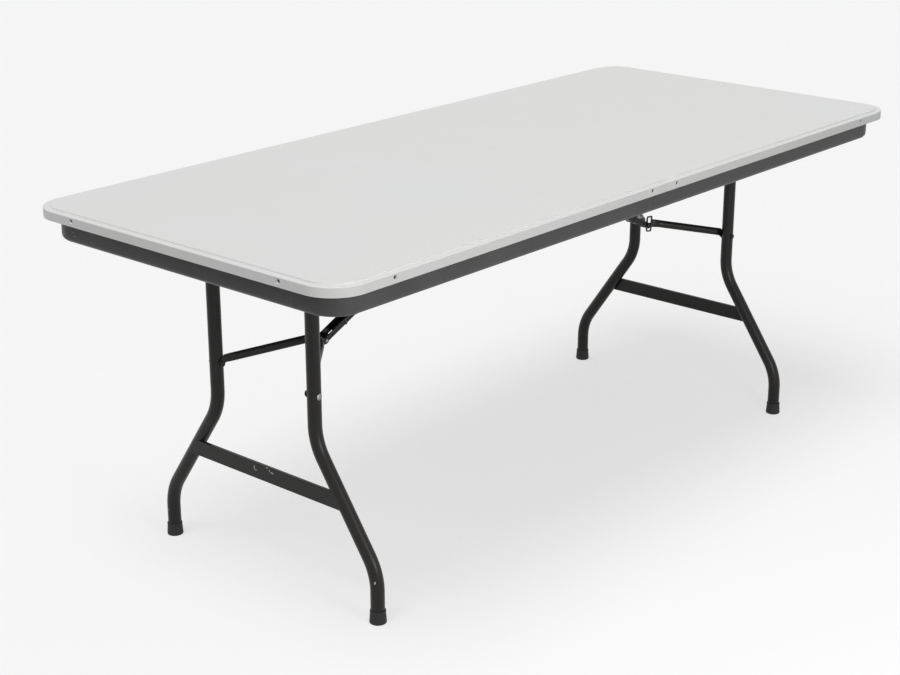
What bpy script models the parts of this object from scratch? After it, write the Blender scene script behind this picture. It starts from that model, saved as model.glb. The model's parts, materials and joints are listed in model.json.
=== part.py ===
"""Folding casino table: a moulded two-piece top on a steel apron, with two
folding leg frames, each held open by a jointed Y brace and a lock ring.

Metres, +Z up. The origin is on the floor under the middle of the top, and
X runs along the table's length."""

from math import acos, atan2, cos, hypot, pi, radians, sin, tan

import bmesh
import bpy
from mathutils import Matrix, Vector

# Overall sizes
LENGTH = 1.830
WIDTH = 0.806
HEIGHT = 0.718
FIT = 0.0003            # clearance between pieces that touch
RUN = 0.0003            # running clearance round a turning piece
OVERRUN = 0.010         # how far a cutter reaches past what it cuts

# Moulded top, made as two halves that butt at the middle
TOP_CORNER = 0.070
TOP_SKIN = 0.0055
SKIRT_DEPTH = 0.021
SKIRT_WALL = 0.004
SKIRT_GROOVE = 0.0055
EDGE_ROUND = 0.004
RIM_WIDTH = 0.0125
RIM_STEP = 0.003
RIM_STEP_RUN = 0.002
RIB_DEPTH = 0.008
RIB_WALL = 0.0025
RIB_COLUMNS = 8
RIB_ROWS = 6
SEAM_GAP = 0.0012

# Steel apron, two U-shaped sections rolled from sheet
APRON_INSET = 0.026
APRON_CORNER = 0.057
APRON_DROP = 0.0455     # from the skirt's lower edge to the apron's
APRON_SHEET = 0.002
APRON_BEND = 0.011
APRON_FLANGE = 0.030
APRON_LIP = 0.0075
APRON_SEAM_X = -0.002
SPLICE_LENGTH = 0.120
SPLICE_SHEET = 0.002

# Skirt screws
SCREW_SHANK = 0.0016
SCREW_HEAD = 0.0030
SCREW_HEAD_DEPTH = 0.0011
SCREW_MOUTH = 0.0046    # recess in the skirt round each head
SCREW_SINK = 0.0016
SCREW_REACH = 0.0025    # how far the shank runs past the apron's lip
SCREW_SEAM_X = 0.041
SCREW_CORNER_INSET = 0.142   # corner screws of the long sides, from the top's ends
SCREW_END_INSET = 0.130      # screws of the short sides, from the top's sides

# Hat-section rails across the apron
RAIL_HEIGHT = 0.0155
RAIL_SHEET = 0.002
RAIL_FLANGE = 0.012
RAIL_WEB = 0.040
RAIL_INSET = 0.535      # outer rails, from the top's ends
RAIL_MARGIN = 0.028     # centre rail's web beyond each brace anchor

# Leg frames
NEAR_LEG_INSET = 0.210  # leg frames, from the top's ends
FAR_LEG_INSET = 0.249
TUBE_RADIUS = 0.0135
TUBE_WALL = 0.0012
PIVOT_DROP = 0.048      # pivot axis below the table top
LEG_INSET = 0.2705      # upright tubes, from the top's sides
FOOT_INSET = 0.118
UPPER_BEND_Z = 0.318
LOWER_BEND_Z = 0.098
LEG_BEND = 0.112
BAR_Z = 0.221
BAR_HEIGHT = 0.032
BAR_THICKNESS = 0.008
BAR_EDGE = 0.0015

# Foot caps
FOOT_HEIGHT = 0.026
FOOT_RADIUS = 0.0165
FOOT_TOP_RADIUS = 0.0150
FOOT_FLOOR = 0.004
FOOT_EDGE = 0.0015

# Pivot brackets welded inside the apron
BRACKET_LENGTH = 0.054
BRACKET_DEPTH = 0.0224
BRACKET_SHEET = 0.0025
BRACKET_RISE = 0.030    # bracket above the pivot axis

# Y brace
BOLT_ARM = 0.260        # leg bolt below the pivot axis
ANCHOR_SPACING = 0.069  # between the two braces' anchor pins
ANCHOR_DROP = 0.042     # anchor pin below the table top
SAG_SHARE = 0.0035      # slack of the opened brace, as a share of its span
PIN_RADIUS = 0.0030
PIN_HEAD = 0.0062
PIN_HEAD_DEPTH = 0.0022
PIN_SINK = 0.0045        # radius and depth of the knee pin's flush riveted ends
PIN_SINK_DEPTH = 0.0012
EAR_THICKNESS = 0.003
EAR_RADIUS = 0.0060
LEG_EAR_RADIUS = 0.0080
BRACE_RADIUS = 0.0086
BRACE_RISE = 0.0065     # brace tube's axis above the line of its two pins
LEG_EAR_LENGTH = 0.010
KNEE_EAR_LENGTH = 0.030
EAR_TAPER = 0.014
NUT_RADIUS = 0.0055
NUT_DEPTH = 0.0025
BOLT_HEAD = 0.0064
BOLT_HEAD_DEPTH = 0.0026

# Upper brace channel, open at the top
CHANNEL_WIDTH = 0.023
CHANNEL_HEIGHT = 0.012
CHANNEL_WALL = 0.0018
CHANNEL_END = 0.008     # channel beyond each of its pins
SLOT_START = 0.016      # slot through the channel's floor, from the knee pin
SLOT_END = 0.033
SLOT_WIDTH = 0.014
STOP_PLACE = 0.0915     # ring stop, from the knee pin
STOP_LENGTH = 0.005
STOP_BAND = 0.0016

# Lock ring
RING_WIRE = 0.0021
RING_PLACE = 0.020      # ring beyond the knee pin, towards the leg
RING_BELOW = 0.0109     # ring's wire centre below the channel's axis
RING_ABOVE = 0.0270
RING_CORNER = 0.007
RING_LEAN = radians(11.5)

# Anchor brackets under the centre rail
ANCHOR_LENGTH = 0.024
ANCHOR_SHEET = 0.002
ANCHOR_BELOW = 0.008

# Places worked out from the sizes above
SKIRT_BOTTOM = HEIGHT - SKIRT_DEPTH
RIM_Z = HEIGHT - RIM_STEP
RIB_BOTTOM = HEIGHT - TOP_SKIN - RIB_DEPTH
APRON_TOP = RIB_BOTTOM - FIT
APRON_BOTTOM = SKIRT_BOTTOM - APRON_DROP
APRON_OUTER_Y = WIDTH / 2 - APRON_INSET
APRON_INNER_Y = APRON_OUTER_Y - APRON_SHEET
LIP_INSET = SKIRT_WALL + FIT
SCREW_Z = (SKIRT_BOTTOM + HEIGHT) / 2
RAIL_X = LENGTH / 2 - RAIL_INSET
RAIL_BOTTOM = APRON_TOP - RAIL_HEIGHT
NEAR_LEG_OUT = LENGTH / 2 - NEAR_LEG_INSET
FAR_LEG_OUT = LENGTH / 2 - FAR_LEG_INSET
LEG_SPREAD = WIDTH / 2 - LEG_INSET
FOOT_SPREAD = WIDTH / 2 - FOOT_INSET
PIVOT_Z = HEIGHT - PIVOT_DROP
BOLT_Z = PIVOT_Z - BOLT_ARM
ANCHOR_Z = HEIGHT - ANCHOR_DROP
ANCHOR_REACH = (NEAR_LEG_OUT + FAR_LEG_OUT - ANCHOR_SPACING) / 2

# The brace closes flat when its long link is its short link plus the folded span
OPEN_SPAN = hypot(ANCHOR_REACH, ANCHOR_Z - BOLT_Z)
FOLDED_SPAN = hypot(ANCHOR_REACH - BOLT_ARM, ANCHOR_Z - PIVOT_Z)
SHORT_LINK = (OPEN_SPAN * (1 + SAG_SHARE) - FOLDED_SPAN) / 2
LONG_LINK = SHORT_LINK + FOLDED_SPAN
SPAN_ANGLE = atan2(ANCHOR_Z - BOLT_Z, ANCHOR_REACH)
SHORT_ANGLE = SPAN_ANGLE - acos(
    (SHORT_LINK ** 2 + OPEN_SPAN ** 2 - LONG_LINK ** 2) / (2 * SHORT_LINK * OPEN_SPAN))
KNEE_U = SHORT_LINK * cos(SHORT_ANGLE)
KNEE_Z = BOLT_Z + SHORT_LINK * sin(SHORT_ANGLE)
LONG_ANGLE = atan2(ANCHOR_Z - KNEE_Z, ANCHOR_REACH - KNEE_U)

EAR_Y = CHANNEL_WIDTH / 2 + FIT + EAR_THICKNESS / 2
EAR_FACE_Y = EAR_Y + EAR_THICKNESS / 2
LEG_FACE_Y = LEG_SPREAD - TUBE_RADIUS
LEG_EAR_Y = LEG_FACE_Y - FIT - EAR_THICKNESS / 2


def clear_scene():
    for item in list(bpy.data.objects):
        bpy.data.objects.remove(item, do_unlink=True)


def make_material(name, colour, roughness, metallic):
    material = bpy.data.materials.new(name)
    material.use_nodes = True
    shader = material.node_tree.nodes["Principled BSDF"]
    shader.inputs["Base Color"].default_value = (*colour, 1.0)
    shader.inputs["Roughness"].default_value = roughness
    shader.inputs["Metallic"].default_value = metallic
    material.diffuse_color = (*colour, 1.0)
    return material


def make_object(name, bm, material, joint=None):
    """Makes an object of bm, whose points are in the joint's parent frame."""
    bmesh.ops.recalc_face_normals(bm, faces=bm.faces)
    mesh = bpy.data.meshes.new(name)
    bm.to_mesh(mesh)
    bm.free()
    mesh.shade_smooth()
    mesh.set_sharp_from_angle(angle=radians(35))
    item = bpy.data.objects.new(name, mesh)
    bpy.context.scene.collection.objects.link(item)
    if material:
        mesh.materials.append(material)
    if joint:
        mesh.transform(Matrix.Translation(-joint.location))
        item.parent = joint
    return item


def make_empty(name, place, parent=None, turn=0.0):
    empty = bpy.data.objects.new(name, None)
    bpy.context.scene.collection.objects.link(empty)
    empty.location = place
    empty.rotation_euler.z = turn
    empty.parent = parent
    return empty


def combine(target, cutters, operation="DIFFERENCE"):
    for cutter in cutters:
        cutter.hide_render = True
        cutter.display_type = "WIRE"
        modifier = target.modifiers.new(cutter.name, "BOOLEAN")
        modifier.operation = operation
        modifier.solver = "EXACT"
        modifier.object = cutter


def loft(rings, bm=None):
    """Skins a row of rings, all with the same number of points, and caps it."""
    bm = bm or bmesh.new()
    rows = [[bm.verts.new(point) for point in ring] for ring in rings]
    count = len(rows[0])
    for low, high in zip(rows, rows[1:]):
        for i in range(count):
            j = (i + 1) % count
            bm.faces.new((low[i], low[j], high[j], high[i]))
    bm.faces.new(reversed(rows[0]))
    bm.faces.new(rows[-1])
    return bm


def box(low, high, bm=None):
    corners = ((low[0], low[1]), (high[0], low[1]), (high[0], high[1]), (low[0], high[1]))
    return loft([[(x, y, z) for x, y in corners] for z in (low[2], high[2])], bm)


def circle(centre, axis, radius, sides, start=0.0):
    axis = Vector(axis).normalized()
    across = axis.orthogonal().normalized() if abs(axis.y) < 0.9 else Vector((0, 0, 1))
    up = axis.cross(across)
    turns = [start + 2 * pi * i / sides for i in range(sides)]
    return [Vector(centre) + radius * (across * cos(t) + up * sin(t)) for t in turns]


def turned(centre, axis, profile, sides=16, bm=None):
    """A turned shape: profile holds (distance along the axis, radius)."""
    axis = Vector(axis).normalized()
    rings = [circle(Vector(centre) + axis * along, axis, radius, sides)
             for along, radius in profile]
    return loft(rings, bm)


def rounded(points, radius, steps):
    """Replaces each inner corner of a flat path with an arc."""
    points = [Vector(p) for p in points]
    path = [points[0]]
    for before, corner, after in zip(points, points[1:], points[2:]):
        back = (before - corner).normalized()
        ahead = (after - corner).normalized()
        half = back.angle(ahead) / 2
        centre = corner + (back + ahead).normalized() * radius / sin(half)
        first = corner + back * radius / tan(half) - centre
        last = corner + ahead * radius / tan(half) - centre
        for i in range(steps + 1):
            share = i / steps
            path.append(centre + (first * (1 - share) + last * share).normalized() * radius)
    path.append(points[-1])
    return path


def tangents(path):
    first = [path[1] - path[0]]
    middle = [(b - a).normalized() + (c - b).normalized()
              for a, b, c in zip(path, path[1:], path[2:])]
    last = [path[-1] - path[-2]]
    return [step.normalized() for step in first + middle + last]


def pipe(path, radius, wall, side, sides=14):
    """A hollow tube with open ends along a path that is square to side."""
    side = Vector(side)
    bm = bmesh.new()
    skins = []
    for size in (radius, radius - wall):
        rows = []
        for point, ahead in zip(path, tangents(path)):
            up = ahead.cross(side)
            turns = [2 * pi * i / sides for i in range(sides)]
            rows.append([bm.verts.new(point + size * (side * cos(t) + up * sin(t)))
                         for t in turns])
        skins.append(rows)
    for rows in skins:
        for low, high in zip(rows, rows[1:]):
            for i in range(sides):
                j = (i + 1) % sides
                bm.faces.new((low[i], low[j], high[j], high[i]))
    outer, inner = skins
    for end in (0, -1):
        for i in range(sides):
            j = (i + 1) % sides
            bm.faces.new((outer[end][i], outer[end][j], inner[end][j], inner[end][i]))
    return bm


def half_outline(sign, seam_x, corner, steps=6):
    """Stations along one half's edge, from seam to seam: the centre that a
    station turns about, in x and y, and its outward direction."""
    corner_x = LENGTH / 2 - corner
    corner_y = WIDTH / 2 - corner
    stations = [(seam_x, -corner_y, 0.0, -1.0)]
    for i in range(2 * steps + 2):
        second = i > steps
        share = (i - second) / steps
        turn = pi / 2 * share - pi / 2
        y = corner_y if second else -corner_y
        stations.append((sign * corner_x, y, sign * cos(turn), sin(turn)))
    stations.append((seam_x, corner_y, 0.0, 1.0))
    return stations


def outline_ring(stations, corner, inset, z, seam_shift=0.0):
    reach = corner - inset
    ring = []
    for i, (x, y, out_x, out_y) in enumerate(stations):
        shift = seam_shift if i in (0, len(stations) - 1) else 0.0
        ring.append(Vector((x + shift + out_x * reach, y + out_y * reach, z)))
    return ring


def pocket_cutter(name, sign):
    """The hollows between the ribs under one half of the top."""
    margin = SKIRT_WALL + SKIRT_GROOVE + RIB_WALL
    start_x = SEAM_GAP / 2 + margin
    pitch_x = (LENGTH / 2 - margin + RIB_WALL - start_x) / RIB_COLUMNS
    pitch_y = (WIDTH - 2 * margin + RIB_WALL) / RIB_ROWS
    low_z = RIB_BOTTOM - OVERRUN
    high_z = HEIGHT - TOP_SKIN
    bm = bmesh.new()
    for column in range(RIB_COLUMNS):
        x0 = start_x + column * pitch_x
        x1 = x0 + pitch_x - RIB_WALL
        for row in range(RIB_ROWS):
            y0 = -WIDTH / 2 + margin + row * pitch_y
            y1 = y0 + pitch_y - RIB_WALL
            outline = pocket_outline(x0, x1, y0, y1, margin, column, row)
            loft([[(sign * x, y, z) for x, y in outline] for z in (low_z, high_z)], bm)
    return make_object(name, bm, None)


def pocket_outline(x0, x1, y0, y1, margin, column, row):
    """A pocket's outline, with the table's corner rounded off where it has one."""
    if column < RIB_COLUMNS - 1 or 0 < row < RIB_ROWS - 1:
        return [(x0, y0), (x1, y0), (x1, y1), (x0, y1)]
    radius = TOP_CORNER - margin
    turns = [pi / 8 * i for i in range(5)]
    arc = [(x1 - radius + radius * sin(t), radius - radius * cos(t)) for t in turns]
    if row == 0:
        return [(x0, y0)] + [(x, y0 + y) for x, y in arc] + [(x1, y1), (x0, y1)]
    return [(x0, y1)] + [(x, y1 - y) for x, y in arc] + [(x1, y0), (x0, y0)]


def screw_places():
    """Where each skirt screw sits: x, y and its outward direction."""
    corner_x = LENGTH / 2 - SCREW_CORNER_INSET
    end_y = WIDTH / 2 - SCREW_END_INSET
    places = []
    for side in (-1, 1):
        for x in (-corner_x, -SCREW_SEAM_X, SCREW_SEAM_X, corner_x):
            places.append((x, side * WIDTH / 2, 0, side))
        for y in (-end_y, end_y):
            places.append((side * LENGTH / 2, y, side, 0))
    return places


def screw_hole_cutter(name, sign, bore, head_bore):
    """Screw holes of one half, as one cutter of separate stepped plugs."""
    bm = bmesh.new()
    for x, y, out_x, out_y in screw_places():
        if x * sign > 0:
            start = (x + out_x * OVERRUN, y + out_y * OVERRUN, SCREW_Z)
            floor = OVERRUN + SCREW_SINK
            seat = floor + SCREW_HEAD_DEPTH + FIT
            profile = [(0, SCREW_MOUTH), (OVERRUN, SCREW_MOUTH), (floor, head_bore),
                       (seat, head_bore), (seat, bore), (2 * OVERRUN, bore)]
            turned(start, (-out_x, -out_y, 0), profile, 8, bm)
    return make_object(name, bm, None)


def join_seam_face(shell, seam_x):
    """Makes one flat face of the strips that lie in the seam plane."""
    strips = [edge for edge in shell.edges
              if edge.calc_length() > WIDTH / 2
              and all(abs(vert.co.x - seam_x) < FIT / 2 for vert in edge.verts)
              and SKIRT_BOTTOM + FIT < edge.verts[0].co.z < HEIGHT - FIT]
    bmesh.ops.dissolve_edges(shell, edges=strips)


def seam_notch(name):
    """Clears the seam walls for the apron's top flange and its two lips."""
    reach = SEAM_GAP / 2 + SKIRT_WALL + SKIRT_GROOVE + FIT
    outer = WIDTH / 2 - SKIRT_WALL
    inner = outer - SKIRT_GROOVE
    low = SKIRT_BOTTOM - OVERRUN
    high = HEIGHT - TOP_SKIN - FIT
    section = [(-outer, low), (outer, low), (outer, high), (inner, high), (inner, RIB_BOTTOM),
               (-inner, RIB_BOTTOM), (-inner, high), (-outer, high)]
    rings = [[(x, y, z) for y, z in section] for x in (-reach, reach)]
    return make_object(name, loft(rings), None)


def build_top_half(label, sign, plastic):
    stations = half_outline(sign, sign * SEAM_GAP / 2, TOP_CORNER)
    middle = EDGE_ROUND * (1 - cos(pi / 4))
    rings = []
    inner = SKIRT_WALL + SKIRT_GROOVE
    for inset, z in ((inner, RIB_BOTTOM), (inner, HEIGHT - TOP_SKIN - FIT),
                     (SKIRT_WALL, HEIGHT - TOP_SKIN - FIT), (SKIRT_WALL, SKIRT_BOTTOM)):
        rings.append(outline_ring(stations, TOP_CORNER, inset, z, sign * inset))
    for inset, z in ((0, SKIRT_BOTTOM), (0, RIM_Z - EDGE_ROUND), (middle, RIM_Z - middle),
                     (EDGE_ROUND, RIM_Z), (RIM_WIDTH, RIM_Z), (RIM_WIDTH + RIM_STEP_RUN, HEIGHT)):
        rings.append(outline_ring(stations, TOP_CORNER, inset, z))
    shell = loft(rings)
    join_seam_face(shell, sign * SEAM_GAP / 2)
    half = make_object("top_panel_" + label, shell, plastic)
    notch = seam_notch("top_seam_notch_" + label)
    holes = screw_hole_cutter("top_screw_holes_" + label, sign,
                              SCREW_SHANK + FIT, SCREW_HEAD + FIT)
    combine(half, [pocket_cutter("top_pockets_" + label, sign), notch, holes])


def apron_profile():
    """The apron's section from its lip to its lower flange: inset, height and
    the corner radius that the point's outline would have at zero inset. The
    lip follows the skirt's corners, and the wall has its own."""
    wall_corner = APRON_CORNER + APRON_INSET
    turns = [pi / 2 * i / 4 for i in range(5)]
    centre_inset = APRON_INSET + APRON_BEND
    centre_z = APRON_BOTTOM + APRON_BEND
    outer = [(APRON_INSET, APRON_TOP - APRON_SHEET)]
    outer += [(centre_inset - APRON_BEND * cos(t), centre_z - APRON_BEND * sin(t))
              for t in turns]
    small = APRON_BEND - APRON_SHEET
    inner = [(APRON_INSET + APRON_SHEET, APRON_TOP)]
    inner += [(centre_inset - small * cos(t), centre_z - small * sin(t)) for t in turns]
    flange = APRON_INSET + APRON_FLANGE
    wall = outer + [(flange, APRON_BOTTOM), (flange, APRON_BOTTOM + APRON_SHEET)]
    wall += reversed(inner)
    lip_end = LIP_INSET + APRON_SHEET
    lip_high = APRON_TOP + APRON_LIP
    lip_start = [(LIP_INSET, lip_high), (LIP_INSET, APRON_TOP - APRON_SHEET)]
    lip_back = [(lip_end, APRON_TOP), (lip_end, lip_high)]
    return ([(inset, z, TOP_CORNER) for inset, z in lip_start]
            + [(inset, z, wall_corner) for inset, z in wall]
            + [(inset, z, TOP_CORNER) for inset, z in lip_back])


def build_apron_half(label, sign, paint):
    seam_x = APRON_SEAM_X + sign * FIT / 2
    lines = [outline_ring(half_outline(sign, seam_x, corner), corner, inset, z)
             for inset, z, corner in apron_profile()]
    half = make_object("apron_" + label, loft(list(zip(*lines))), paint)
    bore = SCREW_SHANK + FIT
    combine(half, [screw_hole_cutter("apron_screw_holes_" + label, sign, bore, bore)])


def build_splice(label, side, paint):
    """A plate inside the apron that joins its two sections."""
    face = APRON_INNER_Y - FIT
    low = APRON_BOTTOM + APRON_BEND + SPLICE_SHEET
    high = APRON_TOP - APRON_SHEET - FIT
    inner = face - SPLICE_SHEET
    start = APRON_SEAM_X - SPLICE_LENGTH / 2
    end = APRON_SEAM_X + SPLICE_LENGTH / 2
    chamfer = SPLICE_SHEET * 2
    outline = [(start, low + chamfer), (start + chamfer, low), (end - chamfer, low),
               (end, low + chamfer), (end, high - chamfer), (end - chamfer, high),
               (start + chamfer, high), (start, high - chamfer)]
    rings = [[(x, side * y, z) for x, z in outline] for y in (inner, face)]
    make_object("apron_splice_" + label, loft(rings), paint)


def build_rail(name, centre_x, web, end, paint):
    """A hat-section rail, its open side up under the ribs of the top."""
    half = web / 2
    outer = half + RAIL_FLANGE
    top = APRON_TOP
    sheet = RAIL_SHEET
    outline = [(-outer, top), (-outer, top - sheet), (-half, top - sheet), (-half, RAIL_BOTTOM),
               (half, RAIL_BOTTOM), (half, top - sheet), (outer, top - sheet), (outer, top),
               (half - sheet, top), (half - sheet, RAIL_BOTTOM + sheet),
               (sheet - half, RAIL_BOTTOM + sheet), (sheet - half, top)]
    rings = [[(centre_x + x, y, z) for x, z in outline] for y in (-end, end)]
    make_object(name, loft(rings), paint)


def centre_rail_place():
    near = ANCHOR_REACH - NEAR_LEG_OUT
    far = FAR_LEG_OUT - ANCHOR_REACH
    return (near + far) / 2, abs(far - near) + 2 * RAIL_MARGIN


def build_screw(name, place, steel):
    x, y, out_x, out_y = place
    lip = SKIRT_WALL - SCREW_SINK - SCREW_HEAD_DEPTH + APRON_SHEET + SCREW_REACH
    sink = SCREW_SINK + FIT
    start = Vector((x - out_x * sink, y - out_y * sink, SCREW_Z))
    profile = [(0, SCREW_HEAD * 0.7), (SCREW_HEAD_DEPTH / 3, SCREW_HEAD),
               (SCREW_HEAD_DEPTH, SCREW_HEAD), (SCREW_HEAD_DEPTH, SCREW_SHANK),
               (SCREW_HEAD_DEPTH + lip, SCREW_SHANK)]
    make_object(name, turned(start, (-out_x, -out_y, 0), profile, 8), steel)


def build_bracket(name, side, joint, paint):
    """A pressed box bracket on the apron, bored for one end of the pivot tube."""
    back = APRON_INNER_Y - FIT
    front = back - BRACKET_DEPTH
    low = APRON_BOTTOM + APRON_SHEET + FIT
    high = PIVOT_Z + BRACKET_RISE
    half = BRACKET_LENGTH / 2
    sheet = BRACKET_SHEET
    bend = APRON_BEND - APRON_SHEET
    outline = [(front, low), (back - bend, low), (back, low + bend), (back, high), (front, high)]
    rings = [[(x, side * y, z) for y, z in outline] for x in (-half, half)]
    shell = make_object(name, loft(rings), paint, joint)
    floor = min(low + sheet, PIVOT_Z - TUBE_RADIUS - RUN)
    inner_y = sorted((side * (front + sheet), side * (back + OVERRUN)))
    hollow = make_object(name + "_hollow", box(
        (sheet - half, inner_y[0], floor), (half - sheet, inner_y[1], high - sheet)), None, joint)
    bore = make_object(name + "_bore", turned(
        (0, side * (front - OVERRUN), PIVOT_Z), (0, side, 0),
        [(0, TUBE_RADIUS + RUN), (2 * OVERRUN, TUBE_RADIUS + RUN)], 20), None, joint)
    combine(shell, [hollow, bore])


def build_pivot_tube(label, joint, paint):
    end = APRON_INNER_Y - FIT - BRACKET_SHEET
    path = [Vector((0, -end, PIVOT_Z)), Vector((0, end, PIVOT_Z))]
    make_object("pivot_tube_" + label, pipe(path, TUBE_RADIUS, TUBE_WALL, (1, 0, 0), 20),
                paint, joint)


def leg_path(side):
    top = PIVOT_Z
    foot = FOOT_FLOOR + FIT
    points = [(0, side * LEG_SPREAD, top), (0, side * LEG_SPREAD, UPPER_BEND_Z),
              (0, side * FOOT_SPREAD, LOWER_BEND_Z), (0, side * FOOT_SPREAD, foot)]
    return rounded(points, LEG_BEND, 4)


def build_leg(label, side, joint, paint, rubber, steel):
    name = label + ("_right" if side < 0 else "_left")
    leg = make_object("leg_tube_" + name, pipe(leg_path(side), TUBE_RADIUS, TUBE_WALL,
                                               (1, 0, 0), 14), paint, joint)
    cope_end = LEG_SPREAD + 2 * TUBE_RADIUS
    cope = make_object("leg_cope_" + name, turned(
        (0, side * (LEG_SPREAD - 2 * TUBE_RADIUS), PIVOT_Z), (0, side, 0),
        [(0, TUBE_RADIUS + FIT), (cope_end - LEG_SPREAD + 2 * TUBE_RADIUS, TUBE_RADIUS + FIT)],
        24), None, joint)
    cap = make_object("leg_end_cut_" + name, box(
        (-2 * TUBE_RADIUS, min(side * (LEG_SPREAD - 2 * TUBE_RADIUS), side * cope_end), PIVOT_Z),
        (2 * TUBE_RADIUS, max(side * (LEG_SPREAD - 2 * TUBE_RADIUS), side * cope_end),
         PIVOT_Z + OVERRUN)), None, joint)
    hole = make_object("leg_bolt_hole_" + name, turned(
        (0, side * (LEG_SPREAD - 2 * TUBE_RADIUS), BOLT_Z), (0, side, 0),
        [(0, PIN_RADIUS + RUN), (4 * TUBE_RADIUS, PIN_RADIUS + RUN)], 12), None, joint)
    combine(leg, [cope, cap, hole])

    bore = TUBE_RADIUS + FIT
    foot_profile = [(0, FOOT_RADIUS - FOOT_EDGE), (FOOT_EDGE, FOOT_RADIUS),
                    (FOOT_HEIGHT - FOOT_EDGE, FOOT_TOP_RADIUS),
                    (FOOT_HEIGHT, FOOT_TOP_RADIUS - FOOT_EDGE / 2), (FOOT_HEIGHT, bore),
                    (FOOT_FLOOR, bore)]
    make_object("foot_" + name, turned((0, side * FOOT_SPREAD, 0), (0, 0, 1), foot_profile, 20),
                rubber, joint)

    outer_face = LEG_SPREAD + TUBE_RADIUS + FIT
    bolt_profile = [(BOLT_HEAD_DEPTH, BOLT_HEAD * 0.55), (BOLT_HEAD_DEPTH * 0.6, BOLT_HEAD * 0.85),
                    (0, BOLT_HEAD), (0, PIN_RADIUS), (LEG_FACE_Y + FIT - outer_face, PIN_RADIUS)]
    make_object("leg_bolt_" + name, turned((0, side * outer_face, BOLT_Z), (0, side, 0),
                                           bolt_profile, 12), steel, joint)


def build_crossbar(label, joint, paint):
    """A flat bar let into the outer side of both splayed tubes."""
    outer = -TUBE_RADIUS
    inner = outer + BAR_THICKNESS
    low = BAR_Z - BAR_HEIGHT / 2
    high = BAR_Z + BAR_HEIGHT / 2
    edge = BAR_EDGE
    section = [(outer + edge, low), (inner - edge, low), (inner, low + edge),
               (inner, high - edge), (inner - edge, high), (outer + edge, high),
               (outer, high - edge), (outer, low + edge)]
    slope = (FOOT_SPREAD - LEG_SPREAD) / (UPPER_BEND_Z - LOWER_BEND_Z)
    rings = []
    for side in (-1, 1):
        ring = []
        for x, z in section:
            tube_y = LEG_SPREAD + (UPPER_BEND_Z - z) * slope
            ring.append((x, side * tube_y, z))
        rings.append(ring)
    bar = make_object("crossbar_" + label, loft(rings), paint, joint)
    cutters = []
    for side in (-1, 1):
        shape = pipe_core(leg_path(side), TUBE_RADIUS + FIT)
        cutters.append(make_object("bar_cope_%s_%d" % (label, side), shape, None, joint))
    combine(bar, cutters)


def pipe_core(path, radius, sides=32):
    side = Vector((1, 0, 0))
    rings = []
    for point, ahead in zip(path, tangents(path)):
        up = ahead.cross(side)
        turns = [2 * pi * i / sides for i in range(sides)]
        rings.append([point + radius * (side * cos(t) + up * sin(t)) for t in turns])
    return loft(rings)


def brace_stations():
    """The brace tube's sections from the leg bolt to the knee pin: distance
    along the pin line, sideways place, lower and upper edge, half thickness."""
    thin = EAR_THICKNESS / 2
    low_tube = BRACE_RISE - BRACE_RADIUS
    high_tube = BRACE_RISE + BRACE_RADIUS
    rows = []
    for share in (0.97, 0.7, 0.35, 0.0):
        size = LEG_EAR_RADIUS * (1 - share ** 2) ** 0.5
        rows.append((-LEG_EAR_RADIUS * share, LEG_EAR_Y, -size, size, thin))
    rows.append((LEG_EAR_LENGTH, LEG_EAR_Y, low_tube, high_tube, thin))
    knee_flat = SHORT_LINK - KNEE_EAR_LENGTH
    travel = knee_flat - LEG_EAR_LENGTH
    for place in (LEG_EAR_LENGTH + EAR_TAPER, knee_flat - EAR_TAPER):
        share = (place - LEG_EAR_LENGTH) / travel
        y = LEG_EAR_Y + (EAR_Y - LEG_EAR_Y) * share
        rows.append((place, y, low_tube, high_tube, BRACE_RADIUS))
    rows.append((knee_flat, EAR_Y, -EAR_RADIUS * 0.6, high_tube, thin))
    rows.append((SHORT_LINK - EAR_RADIUS * 1.5, EAR_Y, -EAR_RADIUS * 0.9, EAR_RADIUS * 1.7, thin))
    for share in (0.0, 0.35, 0.7, 0.97):
        size = EAR_RADIUS * (1 - share ** 2) ** 0.5
        rows.append((SHORT_LINK + EAR_RADIUS * share, EAR_Y, -size, size, thin))
    return rows


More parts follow.
